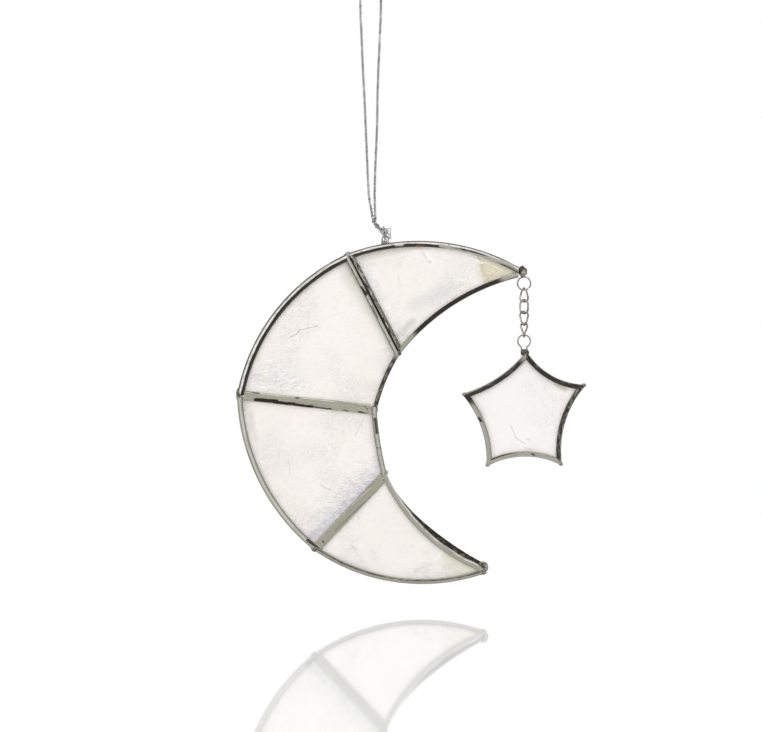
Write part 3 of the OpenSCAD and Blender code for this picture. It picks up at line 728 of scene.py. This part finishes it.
GREY, DARK_GREY, LIGHT = (0.66, 0.655, 0.65), (0.5, 0.5, 0.49), (0.96, 0.94, 0.93)
LAVENDER, GREEN_GREY, CREAM = (0.67, 0.66, 0.675), (0.6, 0.595, 0.5), (0.8, 0.765, 0.63)

# Marks and hatching as paint_marks and paint_hatching take them
TOP_HORN_MARKS = [
    ((45.8, -102.4), (55.5, -107.2), 9.6, 0.3, 5.0, (0.7, 0.65, 0.48), 0.8),
    ((37.4, -98.2), (41.2, -106.9), 0.7, 1.0, 2.5, (0.58, 0.54, 0.4), 0.8),
    ((39.5, -99.9), (46.8, -103.4), 0.5, 1.0, 2.5, (0.85, 0.82, 0.68), 0.9),
    ((41.6, -104.8), (49.2, -104.8), 0.4, 1.0, 2.0, (0.56, 0.52, 0.4), 0.7),
    ((39.5, -106.7), (42.6, -104.3), 0.35, 1.0, 2.0, (0.5, 0.47, 0.36), 0.7),
    ((42.6, -104.3), (44.2, -102.6), 0.35, 1.0, 2.0, (0.5, 0.47, 0.36), 0.7),
    # painted highlights on the crackle in the cream patch
    ((36.5, -99.3), (38.9, -100.3), 0.45, 1.0, 2.0, LIGHT, 0.9),
    ((37.4, -101.5), (38.4, -104.2), 0.35, 1.0, 2.0, LIGHT, 0.8),
    ((23.5, -98.2), (27.6, -99.6), 0.35, 1.0, 3.0, GREY, 0.6),
    ((24.9, -109.3), (30.4, -106.5), 0.4, 1.0, 3.0, LIGHT, 0.6),
    ((9.2, -104.7), (10.6, -108.2), 0.35, 1.0, 2.0, GREY, 0.5),
    ((17.2, -95), (20.7, -100.3), 0.5, 1.0, 3.0, DARK_GREY, 0.45),
    ((18.6, -95.4), (21.7, -100.6), 0.6, 1.0, 3.0, LIGHT, 0.5),
    ((15.4, -114.9), (28.3, -108.6), 4.5, 1.0, 3.0, GREY, 0.5),
    ((9.5, -125.4), (14.4, -120.8), 2.2, 1.0, 2.5, DARK_GREY, 0.5),
    ((-2.7, -99.9), (3.9, -112.5), 2.6, 1.0, 2.0, GREY, 0.55),
    ((-5.1, -98.9), (17.2, -94.3), 1.8, 1.0, 1.5, GREEN_GREY, 0.5),
    ((15.8, -94.3), (18.6, -94.7), 1.6, 1.0, 1.0, (0.62, 0.5, 0.32), 0.55),
]
UPPER_MARKS = [
    ((-7.6, -99.9), (0.5, -113.9), 6.5, 1.0, 3.0, GREEN_GREY, 0.85),
    ((-7.2, -100.6), (-3.7, -106.9), 2.6, 1.0, 2.0, (0.45, 0.44, 0.36), 0.75),
    ((1.2, -117.3), (7.4, -128.8), 4.6, 1.0, 2.0, GREEN_GREY, 0.6),
    ((-28.5, -126.4), (-25.7, -125), 0.28, 0.8, 0.8, DARK_GREY, 0.8),
    ((-25.7, -125), (-24.6, -123.6), 0.28, 0.8, 0.8, DARK_GREY, 0.8),
    ((-24.6, -123.6), (-18.4, -122.2), 0.26, 0.8, 0.8, DARK_GREY, 0.75),
    ((-41.4, -140.3), (-22.6, -142.2), 1.7, 1.0, 5.0, (0.72, 0.71, 0.7), 0.45),
    ((-40.6, -139.2), (-27.1, -139.9), 0.3, 1.0, 6.0, DARK_GREY, 0.35),
    ((-41, -141.4), (-24.4, -141.9), 0.3, 1.0, 6.0, DARK_GREY, 0.4),
    ((-41.5, -142.9), (-20.2, -143.7), 0.34, 1.0, 6.0, DARK_GREY, 0.35),
    ((-39.9, -144.3), (-16.5, -145.9), 0.3, 1.0, 6.0, GREY, 0.6),
    ((-38.1, -137.4), (-29.2, -136.9), 0.3, 1.0, 6.0, GREY, 0.5),
    ((-33.8, -140.6), (-25.1, -141), 0.35, 1.0, 4.0, LIGHT, 0.9),
    ((-38.8, -143.7), (-31.4, -143.2), 0.35, 1.0, 4.0, LIGHT, 0.9),
    ((-36.2, -134.1), (-34.4, -134.8), 0.5, 1.0, 2.0, LIGHT, 0.8),
    ((-40, -131.3), (-37.2, -141), 2.4, 1.0, 3.0, CREAM, 0.35),
    ((4.6, -138.2), (7.4, -131.3), 1.6, 1.0, 2.0, GREY, 0.5),
]
LOWER_MARKS = [
    # the lavender band and its two lilac streaks along the slant divider are a painted pearly sheen
    ((3.6, -172.4), (-18.4, -195.8), 5.6, 1.0, 7.0, LAVENDER, 0.9),
    ((2.6, -174.2), (-9, -185.6), 2.4, 1.0, 6.0, (0.575, 0.565, 0.63), 0.75),
    ((-8.7, -184.5), (-20.8, -195.8), 1.9, 1.0, 6.0, (0.55, 0.545, 0.58), 0.75),
    ((-2.7, -155), (-5.5, -160.6), 0.35, 0.9, 0.8, GREY, 0.9),
    ((-28.8, -167.2), (-28.1, -174.1), 0.3, 0.9, 0.8, GREY, 0.6),
    ((-17.7, -177.6), (-10.7, -181.1), 0.35, 0.9, 1.0, GREY, 0.8),
    ((0.1, -153.2), (2.5, -169.6), 2.6, 1.0, 2.0, GREY, 0.5),
    ((-43.1, -149.4), (-40, -161.9), 2.0, 1.0, 2.5, GREEN_GREY, 0.4),
    ((-37.9, -172.4), (-34.4, -182.9), 2.0, 1.0, 2.5, GREY, 0.3),
]
BOTTOM_MARKS = [
    ((28.3, -204.1), (39.5, -208.3), 4.4, 0.35, 3.5, CREAM, 0.75),
    ((26.2, -199.6), (21.7, -204.8), 0.5, 1.0, 2.0, (0.93, 0.92, 0.88), 0.9),
    ((21.7, -204.8), (15.1, -207.9), 0.5, 1.0, 2.0, GREY, 0.5),
    ((27.6, -202.4), (33.2, -204.5), 0.5, 1.0, 2.0, GREY, 0.6),
    ((-14.2, -202), (3.2, -209), 1.6, 1.0, 2.0, GREY, 0.4),
    ((-6.5, -199.2), (-5.1, -199.9), 0.8, 1.0, 0.5, (0.62, 0.6, 0.6), 0.6),
]
STAR_MARKS = [
    ((48.9, -157.1), (50.6, -161.3), 0.28, 0.8, 0.6, (0.6, 0.59, 0.57), 0.8),
    ((50.6, -161.3), (53.8, -163.3), 0.3, 0.8, 0.6, (0.6, 0.59, 0.57), 0.75),
    ((54.5, -161.6), (55.5, -161.9), 0.7, 1.0, 0.6, GREY, 0.7),
    ((53.8, -164.7), (56.2, -165.4), 0.7, 1.0, 0.6, (0.75, 0.7, 0.68), 0.7),
    ((64.6, -142.4), (67.7, -144.2), 1.5, 1.0, 1.5, (0.62, 0.52, 0.4), 0.75),
    ((36.3, -148), (39.5, -153.6), 1.6, 1.0, 1.5, GREY, 0.3),
]
PANES = {
    "pane_top_horn": shell_material("shell_top_horn", 0.5, TOP_HORN_MARKS, [
        ((40, -101.5), (50, -104.5), 5, 0.6, (0.57, 0.53, 0.4), 0.5),
        ((-1, -103), (5.5, -116), 4, -1.1, LIGHT, 0.7),
        ((12, -97), (26, -96.5), 4, 0.3, LIGHT, 0.6)]),
    "pane_upper": shell_material("shell_upper", 0.2, UPPER_MARKS, [
        ((-39, -139.5), (-24, -142.5), 5, 0.05, (0.6, 0.585, 0.57), 0.6),
        ((-40.5, -136), (-20, -145), 4.5, 0.1, LIGHT, 0.65)]),
    "pane_lower": shell_material("shell_lower", 0.8, LOWER_MARKS, [
        # the lavender and light streaks here are a painted pearly sheen
        ((3, -170.5), (-20.5, -193.5), 8, 0.25, (0.58, 0.57, 0.605), 0.75),
        ((2, -174), (-17, -192), 5, 0.2, LIGHT, 0.55)]),
    "pane_bottom_horn": shell_material("shell_bottom_horn", 0.6, BOTTOM_MARKS, [
        ((12, -209), (33, -206), 5, 0.4, (0.6, 0.58, 0.55), 0.45)]),
    "star_pane": shell_material("shell_star", 1.2, STAR_MARKS, tint=(0.925, 0.915, 0.9)),
}


# ---------------------------------------------------------------- strips

MOON_SIZE, MOON_AT = (97.9, 120), Vector((-46.4, -212.334))
STAR_SIZE, STAR_AT = (43.5, 40.4), Vector((54.253, -130.954))


def moon_spot(u, v):
    """A spot in x and z from shares of the moon's size, from its lower left."""
    return MOON_AT + Vector((u * MOON_SIZE[0], v * MOON_SIZE[1]))


def star_spot(u, v):
    """A spot in x and z from shares of the star's size, from its top point down."""
    return STAR_AT + Vector((u * STAR_SIZE[0], -v * STAR_SIZE[1]))


TOP_OUT, TOP_IN = moon_spot(0.393, 0.962), moon_spot(0.578, 0.669)
MIDDLE_OUT, MIDDLE_IN = moon_spot(-0.002, 0.551), moon_spot(0.496, 0.507)
SLANT_OUT, SLANT_IN = moon_spot(0.272, 0.1), moon_spot(0.531, 0.323)
UPPER_TIP, LOWER_TIP = moon_spot(1.046, 0.9), moon_spot(0.91, 0.042)
STAR = [star_spot(0, 0), star_spot(-0.519, 0.37), star_spot(-0.321, 1), star_spot(0.288, 0.992),
        star_spot(0.481, 0.29)]

# Each strip's start, end, bow, face, marks, and what differs from the strip group's own look
MOON_STRIPS = {
    "top_outer": (UPPER_TIP, TOP_OUT, 0.119, 2.1, [
        ((24.2, -94.3), (50.3, -101.3), 0.75, 0.5, 1.0, PALE, 0.9),
        # the white mark is a painted highlight
        ((8.8, -94.3), (11.2, -94), 0.5, 0.9, 1.6, WHITE, 0.6),
        ((16, -94.5), (18.4, -94.5), 0.55, 0.9, 0.9, (0.22, 0.11, 0.05), 0.7)],
        dict(Base=SMOKE, Band_Width=0.42, Band_Amount=0.95, Dark_From=1.15, Dark_Start=-17.0, Edge=0.85,
             Outline=0.6)),
    "top_inner": (TOP_IN, UPPER_TIP, -0.092, 1.6, [],
        dict(Band_At=1.45, Band_Width=0.25, Band_Amount=0.3, Dark_From=-1.0, Dark_Start=-19.0,
             Dark_End=17.0, Dark=(0.03, 0.025, 0.021, 1), Edge=0.55)),
    "top_divider": (TOP_OUT, TOP_IN, 0, 1.6, [
        ((-6.5, -99.9), (-3, -104.8), 0.5, 0.8, 0.8, PALE, 0.6)],
        dict(Band_At=0.55, Band_Width=0.25, Band_Amount=0.5, Dark_From=-1.0, Dark_Start=-19.0,
             Dark_End=30.0, Blotch=0.5, Worn=0.75)),
    "upper_outer": (TOP_OUT, MIDDLE_OUT, 0.1225, 2.45, [
        ((-14.2, -100.6), (-24.6, -108.6), 0.5, 0.7, 0.6, (0.5, 0.48, 0.38), 0.6)],
        dict(Base=SMOKE, Band_At=0.95, Band_Width=0.5, Band_Amount=1.0, Dark_From=1.35, Edge=0.9,
             Outline=0.62)),
    "upper_inner": (MIDDLE_IN, TOP_IN, -0.041, 1.5, [],
        dict(Band_At=0.75, Band_Width=0.25, Band_Amount=0.2, Dark_From=-1.0, Dark_Start=-14.0,
             Dark_End=9.0, Dark=(0.035, 0.03, 0.026, 1), Blotch=0.6, Edge=0.6, Worn=0.5)),
    "upper_divider": (TOP_IN, TOP_OUT, 0, 1.6, [
        ((-3.4, -109), (-1.6, -111.1), 0.8, 0.4, 0.8, BLACK, 0.95),
        ((0.5, -115.2), (2.5, -119.4), 0.25, 0.5, 0.5, BLACK, 0.7)],
        dict(Band_At=0.9, Band_Width=0.4, Band_Amount=0.3, Blotch=0.4, Edge=0.7)),
    "middle_divider": (MIDDLE_OUT, MIDDLE_IN, 0, 1.65, [
        ((-43.1, -144.9), (-38.9, -145.6), 0.35, 0.4, 0.4, BLACK, 0.9),
        ((-40, -148), (-32.7, -148.4), 0.75, 0.35, 0.9, BLACK, 1.0),
        ((-35.1, -148.4), (-20.5, -150.4), 0.6, 0.35, 1.2, BLACK, 1.0),
        ((-20.5, -150.4), (-13.8, -151.1), 0.3, 0.4, 0.9, BLACK, 0.9),
        ((-26, -147.3), (-25, -147.3), 0.35, 0.5, 0.3, BLACK, 0.9),
        ((-4.1, -152.2), (-1.3, -152.9), 0.4, 0.5, 0.6, BLACK, 0.95),
        ((-9.4, -151.6), (-7.8, -151.9), 0.25, 0.6, 0.8, BLACK, 0.8),
        ((-12.9, -148.4), (-4.2, -149.7), 0.22, 0.8, 0.6, (0.1, 0.09, 0.07), 0.7),
        ((-2.1, -150.2), (-1.2, -151.3), 0.3, 0.6, 0.6, BLACK, 0.7),
        ((-37.9, -146.6), (-1.6, -150.8), 0.5, 1.0, 0.6, PALE, 0.4)],
        dict(Blotch=0.05, Edge=0.0)),
    "lower_outer": (MIDDLE_OUT, SLANT_OUT, 0.109, 1.95, [
        ((-44.2, -150.1), (-43.5, -152.2), 0.35, 0.6, 0.5, BLACK, 0.7),
        ((-43.8, -163.7), (-39.3, -175.2), 0.3, 0.8, 0.5, (0.2, 0.19, 0.17), 0.6),
        ((-21.9, -196.8), (-18.7, -199.2), 0.7, 0.4, 0.6, BLACK, 0.9)],
        dict(Band_At=1.0, Band_Width=0.55, Band_Amount=0.42, Blotch=0.12, Edge=0.6)),
    "lower_inner": (SLANT_IN, MIDDLE_IN, -0.023, 1.8, [
        ((1.5, -154.6), (2.2, -159.5), 0.6, 0.5, 0.8, (0.04, 0.034, 0.03), 0.9),
        ((2.2, -164.7), (3.6, -164.7), 0.25, 0.5, 0.2, BLACK, 0.6)],
        dict(Band_At=0.9, Band_Width=0.5, Band_Amount=0.25, Blotch=0.35, Edge=0.55)),
    "slant_divider": (SLANT_OUT, SLANT_IN, 0, 1.65, [
        # a painted highlight along the upper left edge, and painted shade along the lower right edge
        ((-6.5, -184.5), (0.1, -178.5), 0.24, 0.9, 0.5, WHITE, 0.35),
        ((-12.4, -193.3), (4.6, -177.3), 0.35, 1.0, 0.2, BLACK, 0.45),
        ((-16.6, -197.1), (-16.3, -197.5), 0.4, 0.6, 0.2, BLACK, 0.8)],
        dict(Base=(0.35, 0.345, 0.27, 1), Blotch=0.0, Edge=0.0)),
    "bottom_outer": (SLANT_OUT, LOWER_TIP, 0.126, 1.65, [],
        dict(Band=(0.03, 0.027, 0.022, 1), Band_At=1.1, Band_Width=0.34, Band_Amount=1.0, Blotch=0.1)),
    "bottom_inner": (LOWER_TIP, SLANT_IN, -0.108, 1.8, [],
        dict(Band_At=0.15, Band_Width=0.32, Band_Amount=0.95, Blotch=0.15, Edge=0.25, Wall=1.0)),
}
# Each strip's bow, marks, and what differs from STAR_LOOK, anticlockwise from the star's top point
STAR_STRIPS = {
    "upper_left": (-0.08, [], dict(Dark_From=0.32, Dark_Start=-10.5, Worn=0.3)),
    "left": (-0.1, [((37.7, -154.3), (38.4, -155.3), 0.55, 0.5, 0.3, BLACK, 0.95)],
             dict(Dark_From=-1.0, Dark_End=-8.5)),
    "bottom": (-0.13, [((56.2, -166.8), (56.9, -167.2), 0.4, 0.5, 0.3, BLACK, 0.9)],
               dict(Dark_From=1.3, Dark_End=-3.0)),
    "right": (-0.115, [], dict(Dark_From=0.2, Dark_Start=-14.0, Blotch=0.65, Worn=0.55)),
    "upper_right": (-0.13, [], dict(Dark_From=0.1, Worn=0.25)),
}
STAR_FACE = 1.75
STAR_LOOK = dict(Band_At=0.3, Band_Amount=0.25, Blotch=0.12, Dark=(0.032, 0.027, 0.023, 1))

FINISHES = dict(PANES)
for name, (start, end, bow, face, marks, look) in MOON_STRIPS.items():
    FINISHES[f"came_{name}"] = strip_material(f"strip_{name}", start, end, bow, face, marks, **look)
for i, (name, (bow, marks, look)) in enumerate(STAR_STRIPS.items()):
    FINISHES[f"star_came_{name}"] = strip_material(
        f"star_strip_{name}", STAR[i], STAR[(i + 1) % 5], bow, STAR_FACE, marks, **{**STAR_LOOK, **look})

for name, node in frame["nodes"].items():
    node.data.materials.clear()
    node.data.materials.append(FINISHES.get(name, SOLDER if "solder" in name else WIRE))


# ---------------------------------------------------------------- cord pieces

# Diameter and lay of the cord in the loop, the lead, the wraps and the bight
LOOP_CORD, LEAD_CORD, WRAP_CORD, BIGHT_CORD = (0.95, 2.4), (0.9, 2.2), (0.85, 1.9), (0.85, 2.0)
LEAD_OFFSET, LEAD_PITCH = 0.46, 4.6
WRAP_OFFSET, WRAP_PITCH, WRAP_PHASE = 0.82, 0.85, 0.6
SWIVEL, KNOT_END = (1.2, 0, -87.05), (3.6, 0, -88.75)
EYELET_X, EYELET_Z = 5.1, -92.1
BIGHT_TOP, BIGHT_Z, BIGHT_RADIUS, BIGHT_STEPS = -89.0, -90.97, 0.895, 12
FRAY_RADIUS, FRAY_SIDES = 0.13, 6
FRAYS = (
    [(5.3, -0.5, -89.6), (6.1, -0.7, -88.9), (6.9, -0.6, -89.4), (6.8, -0.4, -90.4), (6.0, -0.4, -90.5)],
    [(5.2, -0.6, -89.9), (6.2, -0.9, -90.0), (7.0, -0.7, -90.9), (6.6, -0.5, -91.8), (5.8, -0.6, -91.7)],
    [(5.4, -0.3, -89.4), (6.0, 0.1, -88.3), (6.8, 0.2, -88.2), (7.2, 0.1, -88.9)],
    [(5.0, -0.8, -90.1), (5.7, -1.2, -91.0), (6.5, -1.1, -91.3), (7.1, -0.9, -92.0)],
    [(4.4, -0.6, -89.2), (3.7, -0.9, -89.9), (3.6, -0.8, -90.6)],
    [(5.0, -0.9, -89.6), (5.6, -1.3, -90.6), (5.3, -1.45, -91.8), (5.9, -1.55, -93.0), (5.6, -1.6, -94.0)],
    [(4.9, -0.9, -89.9), (4.5, -1.3, -91.0), (4.9, -1.45, -92.2), (4.4, -1.55, -93.2)],
    [(5.3, -0.8, -89.5), (6.2, -1.1, -90.4), (6.5, -1.3, -91.7), (6.1, -1.5, -92.9), (6.6, -1.6, -93.8)],
    [(5.2, -1.0, -90.2), (5.0, -1.4, -91.3), (5.5, -1.5, -92.4), (5.1, -1.6, -93.5)],
    [(4.8, -0.8, -89.4), (4.0, -1.2, -90.4), (4.2, -1.4, -91.5), (3.9, -1.4, -92.3)],
)


def mm_path(points, spacing=0.2):
    """The smooth route through points, all in millimetres."""
    return smooth_route([Vector(p) * MM for p in points], spacing * MM)


def finish_piece(name, bm, body, material, slot, *nodes):
    """A visual piece on its body that takes the place of CAD nodes."""
    obj = link_mesh(name, bm, body, material)
    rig.replaces(obj, *nodes)
    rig.slot(obj, slot)
    return obj


# The loop, its two strands wound into each other when the ornament turns under it
bm = bmesh.new()
twisted_cord(bm, cord_path, LOOP_CORD)
cord = finish_piece("cord_loop", bm, None, CORD, "cord", "hanging_cord")
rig.blend(cord, "cord", "neck", Vector((1.2, 0, -64)) * MM, Vector((1.2, 0, -84.8)) * MM)

# The two strands twisted together down to the knot
bm = bmesh.new()
lead = mm_path([(1.2, 0, -84.75), (1.2, 0, -85.7), (1.7, 0, -86.75), (2.6, 0, -87.8), KNOT_END,
                (4.5, 0, -89.45)])
for phase in (0, math.pi):
    twisted_cord(bm, wound(lead, LEAD_OFFSET * MM, LEAD_PITCH * MM, phase), LEAD_CORD)
neck = finish_piece("cord_twisted_lead", bm, None, CORD, "cord", "cord_neck")
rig.blend(neck, "neck", "knot", Vector(SWIVEL) * MM, Vector(KNOT_END) * MM)

# The knot: wraps, a bight through the eyelet, and frayed ends
bm = bmesh.new()
core = mm_path([(4.0, 0.05, -88.5), (4.9, 0, -89.3), (5.3, 0, -90.35)], 0.02)
twisted_cord(bm, wound(core, WRAP_OFFSET * MM, WRAP_PITCH * MM, WRAP_PHASE)[::2], WRAP_CORD)
bend = [(EYELET_X, -BIGHT_RADIUS * math.cos(a), BIGHT_Z - BIGHT_RADIUS * math.sin(a))
        for a in (math.pi * k / BIGHT_STEPS for k in range(BIGHT_STEPS + 1))]
bight = [(EYELET_X, -BIGHT_RADIUS, BIGHT_TOP), *bend, (EYELET_X, BIGHT_RADIUS, BIGHT_TOP)]
twisted_cord(bm, mm_path(bight, 0.1), BIGHT_CORD)
for fray in FRAYS:
    sweep_ring(bm, mm_path(fray, 0.12), FRAY_RADIUS * MM, FRAY_SIDES)
knot = finish_piece("cord_tied_knot", bm, "knot", CORD, "cord", "cord_knot", "cord_bight")

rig.cord(cord, exit=cord_points[0], length=0.18, diameter=0.00095, far_end="knot", stiffness="limp",
        lay="taut", path=[list(p) for p in cord_path[::4]] + [list(cord_path[-1])], with_pieces=[neck, knot])


# ---------------------------------------------------------------- wires

CHAIN_X = 53.453
RING_Z, RING_RADIUS = -107.434, 2.28
STAR_LOOP_Z, STAR_LOOP_RADIUS = -127.554, 2.18
EYELET_RADIUS = 1.13
WIRE_RADIUS, WIRE_SIDES, LOOP_SIDES = 0.27, 16, 14
HALF_LINK_STEPS = 20
LINK_SIZE, LINK_WIRE, LINK_TWIST = (3.5, 5.45), 0.65, 90
# Each link's middle height and its turn about the vertical in degrees
LINKS = ((-111.439, -35), (-115.509, -5), (-119.579, 25), (-123.649, 55))


def link_points(z, spin):
    """A twisted oval link's centre line round its middle."""
    round_r = (LINK_SIZE[0] - LINK_WIRE) / 2
    bar = LINK_SIZE[1] - LINK_WIRE
    half_straight = (bar - 2 * round_r) / 2
    flat = [(round_r * math.cos(a), half_straight + round_r * math.sin(a)) for a in
            (math.pi * k / HALF_LINK_STEPS for k in range(HALF_LINK_STEPS + 1))]
    flat += [(-x, -y) for x, y in flat]
    out = []
    for x, y in flat:
        a = math.radians(spin - LINK_TWIST * y / bar)
        out.append(Vector((CHAIN_X + x * math.cos(a), x * math.sin(a), z + y)) * MM)
    return out


def ring_points(x, z, radius, first, last, steps):
    """Points of an upright circle from one angle in degrees to another."""
    return [Vector((x + radius * math.cos(a), 0, z + radius * math.sin(a))) * MM for a in
            (math.radians(first + (last - first) * k / steps) for k in range(steps + 1))]


for i, (z, spin) in enumerate(LINKS):
    bm = bmesh.new()
    closed_wire(bm, link_points(z, spin), LINK_WIRE / 2 * MM, WIRE_SIDES)
    finish_piece(f"oval_link_{i + 1}", bm, f"link_{i + 1}", WIRE, "wire", f"chain_link_{i + 1}")

bm = bmesh.new()
sweep_ring(bm, ring_points(CHAIN_X, RING_Z, RING_RADIUS, -42, 310, 72), WIRE_RADIUS * MM, WIRE_SIDES)
finish_piece("split_ring", bm, "moon", WIRE, "wire", "tip_ring")

bm = bmesh.new()
closed_wire(bm, ring_points(EYELET_X, EYELET_Z, EYELET_RADIUS, 0, 352.5, 47), WIRE_RADIUS * MM, WIRE_SIDES)
finish_piece("top_eyelet", bm, "moon", WIRE, "wire", "hanger_eyelet")

bm = bmesh.new()
eye = ring_points(CHAIN_X, STAR_LOOP_Z, STAR_LOOP_RADIUS, 242, -62, 60)
left_leg, right_leg = ([Vector((CHAIN_X + side * x, 0, z)) * MM for x, z in
                        ((0.95, -132.5), (0.95, -130.6), (0.96, -129.8))] for side in (-1, 1))
sweep_ring(bm, smooth_route(left_leg + eye + right_leg[::-1], 0.12 * MM), WIRE_RADIUS * MM, LOOP_SIDES)
finish_piece("star_loop", bm, "star", WIRE, "wire", "star_eyelet")


# ---------------------------------------------------------------- solder

# Each lump's piece, node, middle in x and z, half width, thickness and height, seed and finish
MOON_SOLDER = (
    ("smear_outer_top", "solder_outer_top", TOP_OUT + Vector((0.2, -0.75)), (1.6, 1.36, 1.25), 1.3,
     TIP_SOLDER),
    ("smear_inner_top", "solder_inner_top", TOP_IN + Vector((-0.45, 0.6)), (0.95, 1.36, 1.3), 2.3,
     DARK_SOLDER),
    ("smear_outer_middle", "solder_outer_middle", MIDDLE_OUT + Vector((0.75, 0.2)), (1.1, 1.4, 2.2), 3.3,
     TIP_SOLDER),
    ("smear_inner_middle", "solder_inner_middle", MIDDLE_IN + Vector((-0.85, 0.2)), (1.15, 1.34, 1.5), 4.3,
     SOLDER),
    ("smear_outer_slant", "solder_outer_slant", SLANT_OUT + Vector((0.35, 0.65)), (1.35, 1.36, 1.3), 5.3,
     TIP_SOLDER),
    ("smear_inner_slant", "solder_inner_slant", SLANT_IN + Vector((-0.65, 0.1)), (1.0, 1.34, 1.4), 6.3,
     SOLDER),
    ("tip_upper", "tip_solder_upper", (52.95, -103.2), (1.6, 1.4, 1.8), 9.2, TIP_SOLDER),
    ("tip_lower", "tip_solder_lower", (39.1, -206.6), (1.8, 1.4, 2.45), 10.6, TIP_SOLDER),
    ("eyelet", "hanger_solder", (EYELET_X + 0.05, -93.35), (1.6, 1.0, 0.75), 11.9, SOLDER),
)
STAR_LUMP = (0.72, 1.3, 0.7)
STAR_SOLDER = (
    ("star_left", "star_solder_left", STAR[1] + Vector((0.9, -0.15)), STAR_LUMP, 13.4, SOLDER),
    ("star_lower_left", "star_solder_lower_left", STAR[2] + Vector((0.45, 0.75)), STAR_LUMP, 14.4, SOLDER),
    ("star_lower_right", "star_solder_lower_right", STAR[3] + Vector((-0.5, 0.75)), STAR_LUMP, 15.4, SOLDER),
    ("star_right", "star_solder_right", STAR[4] + Vector((-0.9, -0.2)), STAR_LUMP, 16.4, SOLDER),
    ("star_top", "star_solder_top", STAR[0] + Vector((-0.55, -0.5)), (1.45, 1.34, 1.2), 18.8, DARK_SOLDER),
)


def solder_lump(name, body, node, at, size, seed, material):
    """A flat lump of solder with broad dents and smaller bumps."""
    bm = bmesh.new()
    bmesh.ops.create_icosphere(bm, subdivisions=5, radius=1)
    shift = Vector((seed * 3.1, seed * 1.7, 0))
    for v in bm.verts:
        v.co *= 1 + 0.2 * noise.noise(v.co * 1.6 + shift) + 0.09 * noise.noise(v.co * 4 + shift)
        v.co = Vector((at[0] + v.co.x * size[0], v.co.y * size[1], at[1] + v.co.z * size[2])) * MM
    finish_piece(name, bm, body, material, "solder", node)


for body, lumps in (("moon", MOON_SOLDER), ("star", STAR_SOLDER)):
    for piece, node, at, size, seed, finish in lumps:
        solder_lump(f"solder_{piece}", body, node, at, size, seed, finish)


# ---------------------------------------------------------------- stage

FLOOR_Z, FLOOR_HALF = -0.2184, 3
FLOOR_GLOW, FLOOR_MIRROR = 0.85, 0.45  # shares of its own light and of mirroring
WORLD_LIGHT, WORLD_SEEN = 0.72, 1.0  # the surroundings' strength as light and as seen or mirrored
LIGHT_TARGET = Vector((0, 0, -0.14))
# Each lamp's name, place, size and power
LAMPS = (("overhead", (0.1, -0.35, 0.55), 0.5, 2), ("left", (-0.7, -0.45, 0.15), 0.35, 1))


def studio_floor():
    """A white floor that mirrors weakly, and only what the camera sees in it."""
    material, sheet = new_material("studio_floor")
    rays = sheet.add("ShaderNodeLightPath").outputs
    seen = sheet.math("MAXIMUM", rays["Is Camera Ray"], rays["Is Transmission Ray"])
    diffuse = sheet.add("ShaderNodeBsdfDiffuse", Color=(0.8, 0.8, 0.8, 1))
    glow = sheet.add("ShaderNodeEmission", Color=(1, 1, 1, 1), Strength=1.08)
    plain = sheet.add("ShaderNodeMixShader")
    sheet.plug_all(plain, {0: FLOOR_GLOW, 1: diffuse.outputs[0], 2: glow.outputs[0]})
    gloss = sheet.add("ShaderNodeBsdfGlossy", Color=(1, 1, 1, 1), Roughness=0.04)
    top = sheet.add("ShaderNodeMixShader")
    sheet.plug_all(top, {0: sheet.times(seen, FLOOR_MIRROR), 1: plain.outputs[0], 2: gloss.outputs[0]})
    sheet.plug(sheet.add("ShaderNodeOutputMaterial"), 0, top.outputs[0])
    return material


def make_stage():
    """The floor under the ornament."""
    bm = bmesh.new()
    bmesh.ops.create_grid(bm, x_segments=1, y_segments=1, size=FLOOR_HALF,
                          matrix=Matrix.Translation((0, 0, FLOOR_Z)))
    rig.stage(link_mesh("floor", bm, None, studio_floor()))


def make_lights():
    """Two weak lamps in white surroundings."""
    for name, at, size, watts in LAMPS:
        lamp = bpy.data.lights.new(name, "AREA")
        lamp.size = size
        lamp.energy = watts
        obj = bpy.data.objects.new(name, lamp)
        obj.location = at
        obj.rotation_euler = (Vector(at) - LIGHT_TARGET).to_track_quat("Z", "Y").to_euler()
        scene.collection.objects.link(obj)
    world = bpy.data.worlds.new("studio")
    scene.world = world
    world.use_nodes = True
    world.node_tree.nodes.clear()
    sheet = Sheet(world.node_tree)
    rays = sheet.add("ShaderNodeLightPath").outputs
    seen = sheet.math("MAXIMUM", sheet.math("MAXIMUM", rays["Is Camera Ray"], rays["Is Transmission Ray"]),
                      rays["Is Glossy Ray"])
    back = sheet.add("ShaderNodeBackground", Color=(1, 1, 1, 1),
                     Strength=sheet.ramp(seen, 0.0, 1.0, WORLD_LIGHT, WORLD_SEEN))
    sheet.plug(sheet.add("ShaderNodeOutputWorld"), 0, back.outputs[0])
    scene.view_settings.view_transform = "Standard"


make_stage()
make_lights()

json.dump({"cad": [list(v) for v in cad_box], "visual": [list(v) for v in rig.bounds()]},
          open("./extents.json", "w"))
